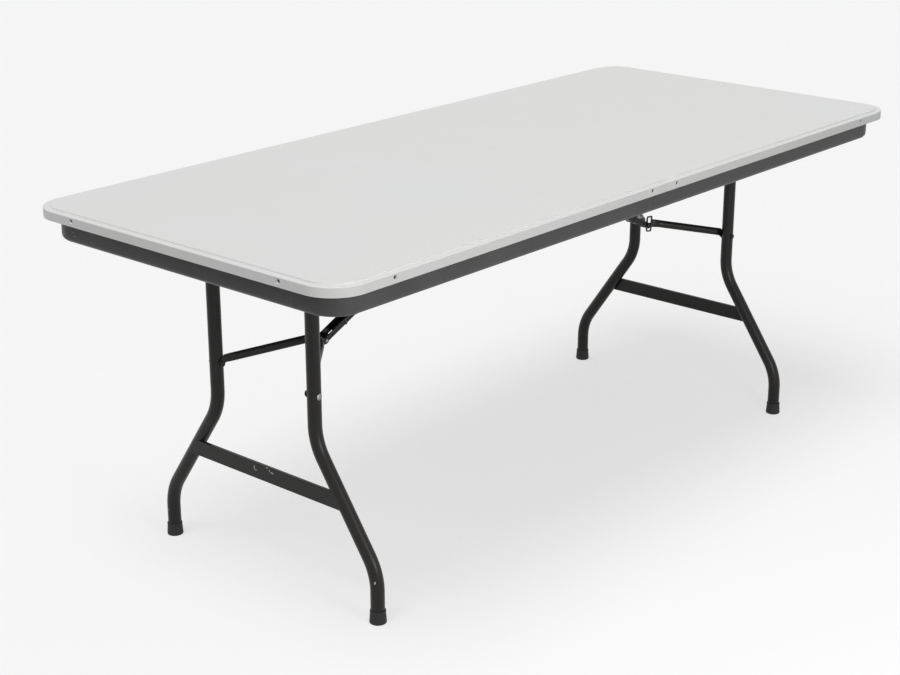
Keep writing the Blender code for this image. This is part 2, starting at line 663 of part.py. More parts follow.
def build_brace_tube(label, side, joint, paint, steel):
    """A round tube, flattened at both ends into ears for the pins."""
    name = label + ("_right" if side < 0 else "_left")
    along = Vector((cos(SHORT_ANGLE), 0, sin(SHORT_ANGLE)))
    up = Vector((-sin(SHORT_ANGLE), 0, cos(SHORT_ANGLE)))
    start = Vector((0, 0, BOLT_Z))
    rings = []
    for place, y, low, high, half in brace_stations():
        centre = start + along * place + up * (low + high) / 2 + Vector((0, side * y, 0))
        tall = (high - low) / 2
        blend = min(1.0, tall / half - 1.0)
        power = 1.0 - 0.5 * blend
        ring = []
        for i in range(14):
            turn = 2 * pi * (i + 0.5) / 14
            across = cos(turn)
            rise = sin(turn)
            sideways = half * abs(across) ** power * (1 if across > 0 else -1)
            ring.append(centre + Vector((0, sideways, 0)) + up * tall * rise)
        rings.append(ring)
    tube = make_object("brace_tube_" + name, loft(rings), paint, joint)
    bore = PIN_RADIUS + RUN
    sink = PIN_SINK + RUN
    reach = EAR_THICKNESS * 2
    leg_hole = turned((0, side * LEG_EAR_Y, BOLT_Z), (0, side, 0),
                      [(-reach, bore), (reach, bore)], 12)
    knee_hole = turned((KNEE_U, side * EAR_FACE_Y, KNEE_Z), (0, side, 0),
                       [(-reach, bore), (-PIN_SINK_DEPTH, bore), (0, sink), (reach, sink)], 12)
    combine(tube, [make_object("brace_leg_hole_" + name, leg_hole, None, joint),
                   make_object("brace_knee_hole_" + name, knee_hole, None, joint)])

    nut_face = LEG_EAR_Y - EAR_THICKNESS / 2 - FIT
    tip = LEG_FACE_Y - FIT - nut_face
    nut = turned((0, side * nut_face, BOLT_Z), (0, side, 0),
                 [(-NUT_DEPTH, NUT_RADIUS), (0, NUT_RADIUS), (0, PIN_RADIUS),
                  (tip, PIN_RADIUS)], 12)
    make_object("brace_nut_" + name, nut, steel, joint)


def channel_frame():
    along = Vector((cos(LONG_ANGLE), 0, sin(LONG_ANGLE)))
    up = Vector((-sin(LONG_ANGLE), 0, cos(LONG_ANGLE)))
    return Vector((KNEE_U, 0, KNEE_Z)), along, up


def channel_block(name, start, end, section, joint):
    """A straight shape along the channel: section holds (sideways, height)."""
    knee, along, up = channel_frame()
    rings = [[knee + along * place + Vector((0, y, 0)) + up * height for y, height in section]
             for place in (start, end)]
    return make_object(name, loft(rings), None, joint)


def build_channel(label, joint, paint):
    half = CHANNEL_WIDTH / 2
    tall = CHANNEL_HEIGHT / 2
    wall = CHANNEL_WALL
    section = [(-half, tall), (-half, -tall), (half, -tall), (half, tall), (half - wall, tall),
               (half - wall, wall - tall), (wall - half, wall - tall), (wall - half, tall)]
    name = "brace_channel_" + label
    channel = channel_block(name, -CHANNEL_END, LONG_LINK + CHANNEL_END, section, joint)
    channel.data.materials.append(paint)
    slot = SLOT_WIDTH / 2
    opening = [(-slot, -tall - OVERRUN), (slot, -tall - OVERRUN), (slot, 0), (-slot, 0)]
    slot_cut = channel_block("channel_slot_cut_" + label, SLOT_START, SLOT_END, opening, joint)
    band = half + STOP_BAND
    low = tall + STOP_BAND
    high = tall - FIT
    over = wall / 2
    stop_section = [(-band, high), (-band, -low), (band, -low), (band, high), (half - over, high),
                    (half - over, over - tall), (over - half, over - tall), (over - half, high)]
    stop = channel_block("ring_stop_" + label, STOP_PLACE, STOP_PLACE + STOP_LENGTH,
                         stop_section, joint)
    combine(channel, [stop], "UNION")
    cutters = [slot_cut]
    for pin, u, z in (("knee", KNEE_U, KNEE_Z), ("anchor", ANCHOR_REACH, ANCHOR_Z)):
        cutters.append(make_object("channel_%s_hole_%s" % (pin, label), turned(
            (u, -CHANNEL_WIDTH, z), (0, 1, 0),
            [(0, PIN_RADIUS + RUN), (2 * CHANNEL_WIDTH, PIN_RADIUS + RUN)], 12), None, joint))
    combine(channel, cutters)


def build_pin(name, u, z, end, joint, steel):
    """A pin through both sides of the channel. end holds its outer end's
    profile from the face inward; the other end mirrors it."""
    profile = [(-along, radius) for along, radius in end]
    profile += [(along, radius) for along, radius in reversed(end)]
    make_object(name, turned((u, 0, z), (0, 1, 0), profile, 12), steel, joint)


def headed_end(half_length):
    return [(half_length + PIN_HEAD_DEPTH, PIN_HEAD * 0.75),
            (half_length + PIN_HEAD_DEPTH / 2, PIN_HEAD),
            (half_length, PIN_HEAD), (half_length, PIN_RADIUS)]


def sunk_end(half_length):
    return [(half_length, PIN_SINK), (half_length - PIN_SINK_DEPTH, PIN_RADIUS)]


def build_ring(label, joint, steel):
    """A loop of round wire that drops over the brace's knee to lock it."""
    knee, along, up = channel_frame()
    tilt = Matrix.Rotation(RING_LEAN, 3, "Y")
    up = tilt @ up
    centre = knee - along * RING_PLACE
    half = EAR_FACE_Y + RUN + RING_WIRE
    corners = [(-half, -RING_BELOW), (half, -RING_BELOW), (half, RING_ABOVE), (-half, RING_ABOVE)]
    path = []
    for i, (y, height) in enumerate(corners):
        mid_y = y - RING_CORNER * (1 if y > 0 else -1)
        mid_h = height - RING_CORNER * (1 if height > 0 else -1)
        for step in range(5):
            turn = pi / 2 * (i + step / 4) - pi
            path.append(centre + Vector((0, mid_y + RING_CORNER * cos(turn), 0))
                        + up * (mid_h + RING_CORNER * sin(turn)))
    bm = bmesh.new()
    count = len(path)
    normal = up.cross(Vector((0, 1, 0)))
    rows = []
    for i, point in enumerate(path):
        ahead = (path[(i + 1) % count] - path[i - 1]).normalized()
        side = ahead.cross(normal)
        turns = [2 * pi * k / 8 for k in range(8)]
        rows.append([bm.verts.new(point + RING_WIRE * (normal * cos(t) + side * sin(t)))
                     for t in turns])
    for i in range(count):
        low = rows[i]
        high = rows[(i + 1) % count]
        for k in range(8):
            n = (k + 1) % 8
            bm.faces.new((low[k], low[n], high[n], high[k]))
    make_object("lock_ring_" + label, bm, steel, joint)


def build_anchor(label, base, paint, steel):
    """The clevis under the centre rail, and the pin that holds the channel."""
    inner = CHANNEL_WIDTH / 2 + FIT
    outer = inner + ANCHOR_SHEET
    top = RAIL_BOTTOM - FIT
    low = ANCHOR_Z - ANCHOR_BELOW
    half = ANCHOR_LENGTH / 2
    section = [(-outer, low), (-outer, top), (outer, top), (outer, low), (inner, low),
               (inner, top - ANCHOR_SHEET), (-inner, top - ANCHOR_SHEET), (-inner, low)]
    rings = [[(ANCHOR_REACH + u, y, z) for y, z in section] for u in (-half, half)]
    clevis = make_object("anchor_clevis_" + label, loft(rings), paint, base)
    hole = make_object("anchor_hole_" + label, turned(
        (ANCHOR_REACH, -2 * outer, ANCHOR_Z), (0, 1, 0),
        [(0, PIN_RADIUS + RUN), (4 * outer, PIN_RADIUS + RUN)], 12), None, base)
    combine(clevis, [hole])
    build_pin("anchor_pin_" + label, ANCHOR_REACH, ANCHOR_Z, headed_end(outer + FIT), base, steel)


def build_leg_frame(label, leg_x, turn, finishes):
    """One leg frame with its brace. Its own axes run inward from the leg."""
    paint, rubber, steel = finishes
    base = make_empty(label + "_base", (leg_x, 0, 0), None, turn)
    fixed = make_empty(label + "_fixed", (0, 0, 0), base)
    fold = make_empty(label + "_fold", (0, 0, PIVOT_Z), base)
    anchor = make_empty(label + "_anchor", (ANCHOR_REACH, 0, ANCHOR_Z), base)
    knee = make_empty(label + "_knee", (KNEE_U, 0, KNEE_Z), base)

    build_pivot_tube(label, fold, paint)
    for side in (-1, 1):
        build_leg(label, side, fold, paint, rubber, steel)
        build_brace_tube(label, side, knee, paint, steel)
        place = label + ("_right" if side < 0 else "_left")
        build_bracket("pivot_bracket_" + place, side, fixed, paint)
    build_crossbar(label, fold, paint)
    build_channel(label, anchor, paint)
    build_pin("knee_pin_" + label, KNEE_U, KNEE_Z, sunk_end(EAR_FACE_Y), anchor, steel)
    build_ring(label, knee, steel)
    build_anchor(label, fixed, paint, steel)


def build():
    clear_scene()
    plastic = make_material("white_plastic", (0.74, 0.74, 0.73), 0.45, 0.0)
    apron_paint = make_material("grey_paint", (0.085, 0.085, 0.088), 0.40, 0.2)
    black_paint = make_material("black_paint", (0.020, 0.020, 0.020), 0.38, 0.2)
    rubber = make_material("black_rubber", (0.012, 0.012, 0.012), 0.70, 0.0)
    steel = make_material("dark_steel", (0.10, 0.10, 0.10), 0.40, 0.9)

    for label, sign in (("near", -1), ("far", 1)):
        build_top_half(label, sign, plastic)
        build_apron_half(label, sign, apron_paint)
    for label, side in (("right", -1), ("left", 1)):
        build_splice(label, side, apron_paint)
    end = APRON_INNER_Y - FIT
    for label, x in (("near", -RAIL_X), ("far", RAIL_X)):
        build_rail("cross_rail_" + label, x, RAIL_WEB, end, apron_paint)
    middle, web = centre_rail_place()
    end -= SPLICE_SHEET + FIT
    build_rail("cross_rail_centre", middle, web, end, apron_paint)
    for number, place in enumerate(screw_places()):
        build_screw("skirt_screw_%02d" % (number + 1), place, steel)
    finishes = (black_paint, rubber, steel)
    build_leg_frame("near", -NEAR_LEG_OUT, 0.0, finishes)
    build_leg_frame("far", FAR_LEG_OUT, pi, finishes)


build()
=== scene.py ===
import json
from math import atan2, cos, hypot, pi, radians, sin, tan

import bmesh
import bpy
from mathutils import Matrix, Vector

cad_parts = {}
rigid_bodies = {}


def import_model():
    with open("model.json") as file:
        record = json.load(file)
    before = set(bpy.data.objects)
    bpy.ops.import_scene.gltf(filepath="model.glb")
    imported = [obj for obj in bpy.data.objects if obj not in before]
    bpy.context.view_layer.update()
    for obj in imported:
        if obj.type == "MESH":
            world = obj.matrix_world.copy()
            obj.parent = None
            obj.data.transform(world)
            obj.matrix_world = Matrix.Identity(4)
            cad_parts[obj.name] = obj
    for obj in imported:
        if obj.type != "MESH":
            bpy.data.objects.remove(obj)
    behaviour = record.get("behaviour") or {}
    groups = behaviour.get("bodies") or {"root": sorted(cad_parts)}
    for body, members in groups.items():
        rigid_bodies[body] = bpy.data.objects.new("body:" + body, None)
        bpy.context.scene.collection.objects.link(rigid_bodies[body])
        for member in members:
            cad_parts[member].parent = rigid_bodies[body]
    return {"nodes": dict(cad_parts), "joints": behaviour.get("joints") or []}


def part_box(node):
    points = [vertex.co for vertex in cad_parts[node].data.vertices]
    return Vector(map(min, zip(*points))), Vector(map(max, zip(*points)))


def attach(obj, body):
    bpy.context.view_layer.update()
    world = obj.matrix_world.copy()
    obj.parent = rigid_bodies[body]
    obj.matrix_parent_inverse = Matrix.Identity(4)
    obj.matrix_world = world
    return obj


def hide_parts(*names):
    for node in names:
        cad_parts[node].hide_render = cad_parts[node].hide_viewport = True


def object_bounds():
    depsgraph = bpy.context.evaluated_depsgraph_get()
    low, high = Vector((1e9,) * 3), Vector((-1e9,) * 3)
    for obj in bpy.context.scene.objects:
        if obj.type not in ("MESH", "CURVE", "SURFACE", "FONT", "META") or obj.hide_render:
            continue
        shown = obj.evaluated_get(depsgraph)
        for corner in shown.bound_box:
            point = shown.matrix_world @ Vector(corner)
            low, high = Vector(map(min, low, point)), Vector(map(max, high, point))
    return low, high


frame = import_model()
cad_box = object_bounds()
in_scene = bpy.context.scene.collection.objects

# Camera
# A long lens looks down along the table from beside its near corner. The
# shift is half a pixel, because the photograph's centre was read that way.
CAMERA_PLACE = (-2.8038, -2.3049, 1.5904)
CAMERA_YAW = 0.8506
CAMERA_PITCH = 0.3416
CAMERA_ROLL = -0.0012
LENS_MM = 71.0
SENSOR_MM = 36.0
PHOTO_WIDTH_PX = 900
CENTRE_SHIFT_PX = 0.5
lens = bpy.data.cameras.new("camera")
lens.lens = LENS_MM
lens.sensor_width = SENSOR_MM
lens.shift_x = -CENTRE_SHIFT_PX / PHOTO_WIDTH_PX
lens.shift_y = CENTRE_SHIFT_PX / PHOTO_WIDTH_PX
camera = bpy.data.objects.new("camera", lens)
in_scene.link(camera)
camera.matrix_world = (Matrix.Translation(CAMERA_PLACE)
                       @ Matrix.Rotation(-CAMERA_YAW, 4, "Z")
                       @ Matrix.Rotation(pi / 2 - CAMERA_PITCH, 4, "X")
                       @ Matrix.Rotation(CAMERA_ROLL, 4, "Z"))
bpy.context.scene.camera = camera
bpy.context.scene.view_settings.view_transform = "Standard"


# Studio
# A white studio: a soft light from above, another over the table's near end,
# a softbox beside its long side, and even light from all round. The floor is
# grey to light, and made white where it is seen, so it keeps soft shadows.
BACKDROP = (0.922, 0.922, 0.922, 1.0)
FLOOR_GREY = 0.30
OPEN_FLOOR = 0.96
FLOOR_SIZE = 60.0
AMBIENT = 0.36
SUNS = (("light_above", (-0.28, 0.01, 1.0), 1.42, 32),
        ("light_near_end", (-0.62, -0.05, 0.78), 0.54, 30))
SOFTBOX_PLACE = (-0.85, -2.5, 1.0)
SOFTBOX_AIM = (-0.5, -0.4, 0.7)
SOFTBOX_SIZE = 1.0
SOFTBOX_POWER = 20.5


def add_node(tree, kind, inputs=None, **settings):
    """Adds a node. inputs maps a socket's name or number to a value or to another node's socket."""
    made = tree.nodes.new(kind)
    for name, value in settings.items():
        setattr(made, name, value)
    for socket, value in (inputs or {}).items():
        if isinstance(value, bpy.types.NodeSocket):
            tree.links.new(value, made.inputs[socket])
        else:
            made.inputs[socket].default_value = value
    return made


def seen_directly(tree):
    """One where a ray comes from the camera, a mirror or glass, and zero for other light."""
    path = add_node(tree, "ShaderNodeLightPath").outputs
    seen = add_node(tree, "ShaderNodeMath", {0: path["Is Camera Ray"], 1: path["Is Glossy Ray"]},
                    operation="MAXIMUM")
    return add_node(tree, "ShaderNodeMath", {0: seen.outputs[0], 1: path["Is Transmission Ray"]},
                    operation="MAXIMUM").outputs[0]


world = bpy.data.worlds.new("studio")
world.use_nodes = True
bpy.context.scene.world = world
sky = world.node_tree
sky.nodes.clear()
light_sky = add_node(sky, "ShaderNodeBackground", {"Color": (1, 1, 1, 1), "Strength": AMBIENT})
seen_sky = add_node(sky, "ShaderNodeBackground", {"Color": BACKDROP, "Strength": 1.0})
mixed_sky = add_node(sky, "ShaderNodeMixShader",
                     {0: seen_directly(sky), 1: light_sky.outputs[0], 2: seen_sky.outputs[0]})
add_node(sky, "ShaderNodeOutputWorld", {"Surface": mixed_sky.outputs[0]})

for name, place, strength, width in SUNS:
    lamp = bpy.data.lights.new(name, "SUN")
    lamp.energy = strength
    lamp.angle = radians(width)
    light = bpy.data.objects.new(name, lamp)
    light.rotation_euler = Vector(place).to_track_quat("Z", "Y").to_euler()
    in_scene.link(light)
softbox_lamp = bpy.data.lights.new("softbox", "AREA")
softbox_lamp.shape = "DISK"
softbox_lamp.size = SOFTBOX_SIZE
softbox_lamp.energy = SOFTBOX_POWER
softbox = bpy.data.objects.new("softbox", softbox_lamp)
softbox.location = SOFTBOX_PLACE
softbox_aim = Vector(SOFTBOX_AIM) - Vector(SOFTBOX_PLACE)
softbox.rotation_euler = softbox_aim.to_track_quat("-Z", "Y").to_euler()
in_scene.link(softbox)

floor_bm = bmesh.new()
bmesh.ops.create_grid(floor_bm, x_segments=1, y_segments=1, size=FLOOR_SIZE / 2)
floor_mesh = bpy.data.meshes.new("floor")
floor_bm.to_mesh(floor_mesh)
floor_bm.free()
floor = bpy.data.objects.new("floor", floor_mesh)
in_scene.link(floor)
floor_paint = bpy.data.materials.new("floor")
floor_paint.use_nodes = True
floor_tree = floor_paint.node_tree
floor_tree.nodes.clear()
matt = add_node(floor_tree, "ShaderNodeBsdfDiffuse",
                {"Color": (FLOOR_GREY, FLOOR_GREY, FLOOR_GREY, 1.0)})
missing_white = BACKDROP[0] - FLOOR_GREY * OPEN_FLOOR
whiter = add_node(floor_tree, "ShaderNodeMath", {0: seen_directly(floor_tree), 1: missing_white},
                  operation="MULTIPLY")
glow = add_node(floor_tree, "ShaderNodeEmission",
                {"Color": (1, 1, 1, 1), "Strength": whiter.outputs[0]})
floor_mix = add_node(floor_tree, "ShaderNodeAddShader", {0: matt.outputs[0], 1: glow.outputs[0]})
add_node(floor_tree, "ShaderNodeOutputMaterial", {"Surface": floor_mix.outputs[0]})
floor_mesh.materials.append(floor_paint)


# Steel apron
# Two U-shaped sections rolled from 2 mm sheet: a lip behind the top's skirt, a
# ledge, an upright wall, and a lower edge rolled inward. They butt just off the
# middle of each long side, and are powder coated charcoal grey.
SHEET = 0.002
APRON_INSET = 0.026
APRON_CORNER = 0.057
APRON_BEND = 0.011
APRON_FLANGE = 0.030
LIP_INSET = 0.0043
TOP_CORNER = 0.070
APRON_GREY = (0.092, 0.092, 0.092)
APRON_ROUGHNESS = 0.42
APRON_GLOSS = 0.17
APRON_SCRATCH = (0.20, 0.19, 0.18)
CUT_EDGE = 0.0004
SAME = SHEET / 4
CORNER_STEPS = 28
BEND_STEPS = 8
UP = Vector((0, 0, 1))
table_low, table_high = cad_box
LENGTH = table_high[0] - table_low[0]
WIDTH = table_high[1] - table_low[1]
HEIGHT = table_high[2] - table_low[2]


def sweep(bm, front, place, heading, up, route, steps):
    """Drags front, a vertex or a row of edges, along a route of straight runs, (length, 0, 0),
    and bends, (0, radius, angle), which turn about up. Returns the last front."""
    place = Vector(place)
    heading = Vector(heading)
    up = Vector(up)
    for length, radius, turn in route:
        centre = place
        step = heading * length
        if turn:
            centre = place + up.cross(heading) * (radius if turn > 0 else -radius)
        made = bmesh.ops.spin(bm, geom=front, cent=centre, axis=up, dvec=step, angle=turn,
                              steps=steps if turn else 1, use_duplicate=False)
        front = made["geom_last"]
        spun = Matrix.Rotation(turn, 3, up)
        place = centre + spun @ (place - centre) + step
        heading = spun @ heading
    return front


def add_piece(name, bm, finish, matrix=None):
    """Makes a piece of the scene from bm, with one finish."""
    if matrix:
        bmesh.ops.transform(bm, matrix=matrix, verts=bm.verts)
    mesh = bpy.data.meshes.new(name)
    bm.to_mesh(mesh)
    bm.free()
    piece = bpy.data.objects.new(name, mesh)
    in_scene.link(piece)
    mesh.materials.append(finish)
    return piece


def settle(piece, crease=32):
    """Applies a piece's modifiers, and shades it smooth up to a crease, in degrees."""
    graph = bpy.context.evaluated_depsgraph_get()
    final = bpy.data.meshes.new_from_object(piece.evaluated_get(graph))
    piece.modifiers.clear()
    piece.data = final
    final.shade_smooth()
    final.set_sharp_from_angle(angle=radians(crease))
    even = piece.modifiers.new("even_shading", "WEIGHTED_NORMAL")
    even.keep_sharp = True
    return piece


def thicken(piece, thickness, offset=0.0, edge=0.0):
    """Gives a sheet its thickness and, if edge is given, softens its cut edges."""
    wall = piece.modifiers.new("thickness", "SOLIDIFY")
    wall.thickness = thickness
    wall.offset = offset
    wall.use_even_offset = True
    if edge:
        soft = piece.modifiers.new("edges", "BEVEL")
        soft.width = edge
        soft.segments = 2
        soft.limit_method = "ANGLE"
        soft.angle_limit = radians(50)


def new_finish(name):
    """A new material, with its node tree, its shader and the Object coordinates to work from."""
    finish = bpy.data.materials.new(name)
    finish.use_nodes = True
    tree = finish.node_tree
    place = add_node(tree, "ShaderNodeTexCoord").outputs["Object"]
    return finish, tree, tree.nodes["Principled BSDF"], place


def lay_surface(tree, shader, body, height, strength, depth, rough=None):
    """Gives the shader its colour, its fine relief and, where that varies, its roughness."""
    bump = add_node(tree, "ShaderNodeBump",
                    {"Height": height, "Strength": strength, "Distance": depth})
    tree.links.new(body, shader.inputs["Base Color"])
    tree.links.new(bump.outputs[0], shader.inputs["Normal"])
    if rough:
        tree.links.new(rough.outputs[0], shader.inputs["Roughness"])


def speckle(tree, place, scale, low, high, detail=3.0):
    """Noise of one scale, spread so that low to high becomes nought to one."""
    noise = add_node(tree, "ShaderNodeTexNoise", {"Vector": place, "Scale": scale, "Detail": detail})
    return add_node(tree, "ShaderNodeMapRange",
                    {0: noise.outputs["Fac"], "From Min": low, "From Max": high}).outputs[0]


def mix_colour(tree, share, first, second):
    """The first colour where share is nought and the second where it is one."""
    mixed = add_node(tree, "ShaderNodeMix", {0: share}, data_type="RGBA")
    for socket, colour in ((mixed.inputs[6], first), (mixed.inputs[7], second)):
        if isinstance(colour, bpy.types.NodeSocket):
            tree.links.new(colour, socket)
        else:
            socket.default_value = (*colour, 1.0)
    return mixed.outputs[2]


def chip_mask(tree, place, chips):
    """One inside each chip, a ragged spot given by its place and its three half sizes."""
    ragged = add_node(tree, "ShaderNodeTexNoise", {"Vector": place, "Scale": 900.0, "Detail": 2.0})
    mask = None
    for centre, size in chips:
        offset = add_node(tree, "ShaderNodeVectorMath", {0: place, 1: centre}, operation="SUBTRACT")
        scaled = add_node(tree, "ShaderNodeVectorMath", {0: offset.outputs[0], 1: size},
                          operation="DIVIDE")
        far = add_node(tree, "ShaderNodeVectorMath", {0: scaled.outputs[0]}, operation="LENGTH")
        near = add_node(tree, "ShaderNodeMath", {0: far.outputs["Value"], 1: ragged.outputs["Fac"]},
                        operation="ADD")
        spot = add_node(tree, "ShaderNodeMapRange",
                        {0: near.outputs[0], "From Min": 1.55, "From Max": 1.35})
        if mask:
            mask = add_node(tree, "ShaderNodeMath", {0: mask, 1: spot.outputs[0]},
                            operation="MAXIMUM").outputs[0]
        else:
            mask = spot.outputs[0]
    return mask


def powder_coat(name, colour, roughness, chips=(), chip_colour=(0.42, 0.40, 0.37), gloss=0.5):
    """A satin powder coat: a fine orange peel, faint rubbed patches, dust, and chips."""
    finish, tree, shader, place = new_finish(name)
    rubbed = speckle(tree, place, 9.0, 0.45, 0.75)
    dust = speckle(tree, place, 160.0, 0.62, 0.78, 4.0)
    darker = tuple(c * 0.90 for c in colour)
    lighter = tuple(c * 1.14 + 0.002 for c in colour)
    dusty = tuple(c * 1.3 + 0.008 for c in colour)
    body = mix_colour(tree, rubbed, darker, lighter)
    dust_share = add_node(tree, "ShaderNodeMath", {0: dust, 1: 0.35}, operation="MULTIPLY")
    body = mix_colour(tree, dust_share.outputs[0], body, dusty)
    rough = add_node(tree, "ShaderNodeMapRange",
                     {0: rubbed, "To Min": roughness - 0.05, "To Max": roughness + 0.05})
    peel = add_node(tree, "ShaderNodeTexNoise", {"Vector": place, "Scale": 520.0, "Detail": 2.0})
    height = peel.outputs["Fac"]
    if chips:
        chipped = chip_mask(tree, place, chips)
        body = mix_colour(tree, chipped, body, chip_colour)
        height = add_node(tree, "ShaderNodeMath", {0: height, 1: chipped},
                          operation="SUBTRACT").outputs[0]
    lay_surface(tree, shader, body, height, 0.16, 0.0004, rough)
    shader.inputs["Specular IOR Level"].default_value = gloss
    return finish


def round_route(first_x, sign, corner):
    """From the seam along the right side, round both corners of one end, and back."""
    run = abs(sign * LENGTH / 2 - first_x) - corner
    turn = sign * pi / 2
    return [(run, 0, 0), (0, corner, turn), (WIDTH - 2 * corner, 0, 0), (0, corner, turn),
            (run, 0, 0)]


def draw_line(bm, points):
    """Joins points with edges, and returns them."""
    verts = [bm.verts.new(point) for point in points]
    return [bm.edges.new(pair) for pair in zip(verts, verts[1:])]


APRON_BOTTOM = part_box("apron_near")[0].z
LEDGE_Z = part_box("cross_rail_near")[1].z - SHEET / 2

# Marks on the near end of the apron: rubbed corners and one short scratch
apron_marks = [((-0.889, -0.2753, 0.6713), (0.004, 0.0006, 0.0036)),
               ((-0.889, 0.3045, 0.6742), (0.004, 0.0035, 0.0010)),
               ((-0.889, 0.3000, 0.6680), (0.004, 0.0050, 0.0012)),
               ((-0.889, 0.2778, 0.6562), (0.004, 0.0016, 0.0008)),
               ((-0.889, 0.2514, 0.6659), (0.004, 0.0020, 0.0022))]
apron_paint = powder_coat("apron_paint", APRON_GREY, APRON_ROUGHNESS, apron_marks,
                          APRON_SCRATCH, APRON_GLOSS)
for label, sign in (("near", -1), ("far", 1)):
    apron_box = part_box("apron_" + label)
    butt_x = apron_box[1 if sign < 0 else 0].x
    lip_top = apron_box[1].z
    edge_y = -WIDTH / 2
    lip_y = edge_y + LIP_INSET + SHEET / 2
    ledge_y = lip_y + SHEET * 2
    bm = bmesh.new()
    lip = draw_line(bm, [(butt_x, lip_y, lip_top), (butt_x, lip_y, LEDGE_Z),
                         (butt_x, ledge_y, LEDGE_Z)])
    sweep(bm, lip, (butt_x, edge_y, 0), (sign, 0, 0), UP, round_route(butt_x, sign, TOP_CORNER),
          CORNER_STEPS)
    wall_y = edge_y + APRON_INSET + SHEET / 2
    wall_top = bm.verts.new((butt_x, wall_y, LEDGE_Z))
    before = set(bm.edges)
    drop = LEDGE_Z - APRON_BOTTOM - APRON_BEND
    inner_bend = APRON_BEND - SHEET / 2
    flange_run = APRON_FLANGE - APRON_BEND
    sweep(bm, [wall_top], wall_top.co, (0, 0, -1), (1, 0, 0),
          [(drop, 0, 0), (0, inner_bend, pi / 2), (flange_run, 0, 0)], BEND_STEPS)
    wall_edges = [e for e in bm.edges if e not in before]
    sweep(bm, wall_edges, (butt_x, edge_y, 0), (sign, 0, 0), UP,
          round_route(butt_x, sign, APRON_CORNER + APRON_INSET), CORNER_STEPS)
    ledge_edges = [e for e in bm.edges
                   if e.is_boundary and all(abs(v.co.z - LEDGE_Z) < SAME for v in e.verts)
                   and any(abs(v.co.x - butt_x) > SHEET for v in e.verts)]
    bmesh.ops.bridge_loops(bm, edges=ledge_edges)
    bmesh.ops.recalc_face_normals(bm, faces=bm.faces)
    apron = add_piece("apron_sheet_" + label, bm, apron_paint)
    thicken(apron, SHEET, 0.0, CUT_EDGE)
    settle(apron)
    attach(apron, "table_frame")
    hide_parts("apron_" + label)


# Cross rails
# Three hat-section rails folded from the same sheet, welded across the apron
# under the top. The wide one in the middle carries the braces.
RAIL_FLANGE = 0.012
RAIL_BEND = 0.0025
RAIL_BEND_STEPS = 4
RAIL_EDGE = 0.0003
INNER_GREY = (0.060, 0.060, 0.062)
INNER_ROUGHNESS = 0.46
inner_paint = powder_coat("inner_paint", INNER_GREY, INNER_ROUGHNESS)
for label in ("near", "far", "centre"):
    low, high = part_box("cross_rail_" + label)
    flange_z = high.z - SHEET / 2
    flange = RAIL_FLANGE - RAIL_BEND - SHEET / 2
    depth = high.z - low.z - SHEET - 2 * RAIL_BEND
    web = high.x - low.x - 2 * RAIL_FLANGE - 2 * RAIL_BEND - SHEET
    bm = bmesh.new()
    start = bm.verts.new((low.x, low.y, flange_z))
    sweep(bm, [start], start.co, (1, 0, 0), (0, 1, 0),
          [(flange, 0, 0), (0, RAIL_BEND, pi / 2), (depth, 0, 0), (0, RAIL_BEND, -pi / 2),
           (web + SHEET, 0, 0), (0, RAIL_BEND, -pi / 2), (depth, 0, 0), (0, RAIL_BEND, pi / 2),
           (flange, 0, 0)], RAIL_BEND_STEPS)
    sweep(bm, bm.edges[:], (0, 0, 0), (0, 1, 0), UP, [(high.y - low.y, 0, 0)], 1)
    bmesh.ops.recalc_face_normals(bm, faces=bm.faces)
    rail = add_piece("hat_rail_" + label, bm, inner_paint)
    thicken(rail, SHEET, 0.0, RAIL_EDGE)
    settle(rail)
    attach(rail, "table_frame")
    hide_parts("cross_rail_" + label)


# Pressed fittings inside the apron
# Splice plates over the apron's joints, box brackets that carry the pivot
# tubes, and the clevises that hold the braces, all in the rails' paint.
fitting_names = ["apron_splice_left", "apron_splice_right"]
for label in ("near", "far"):
    fitting_names += ["anchor_clevis_" + label, "pivot_bracket_%s_left" % label,
                      "pivot_bracket_%s_right" % label]
for name in fitting_names:
    fitting = frame["nodes"][name]
    fitting.data.materials.clear()
    fitting.data.materials.append(inner_paint)


# Moulded top
# Two halves of white plastic that butt at the middle: a flat panel with a rim
# one step lower, an eased edge, and a skirt with counterbored holes for its
# screws. The seam opens a little where it crosses the rim.
WALL = 0.004
EDGE_ROUND = 0.0016
EDGE_STEPS = 5
RIM_WIDTH = 0.0125
RIM_STEP = 0.003
RIM_STEP_RUN = 0.0005
STEP_SOFT = 0.0002
STEP_SOFT_STEPS = 2
STEP_SLOPE = 0.1
SKIRT_GAP = 0.0005
RIM_GAP = 0.0010
PANEL_GAP = 0.0003
SCREW_HEAD = 0.0030
SCREW_SHANK = 0.0016
HOLE_MOUTH = 0.0047
HOLE_SINK = 0.0018
HOLE_SEAT = 0.0030
HOLE_SIDES = 24
TOP_CREASE = 40
CLEAR = 0.0003
MERGE = 1e-6
PLASTIC_WHITE = (0.705, 0.705, 0.701)
RIM_Z = HEIGHT - RIM_STEP
SKIRT_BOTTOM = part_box("top_panel_near")[0].z
RIB_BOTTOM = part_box("cross_rail_near")[1].z + CLEAR


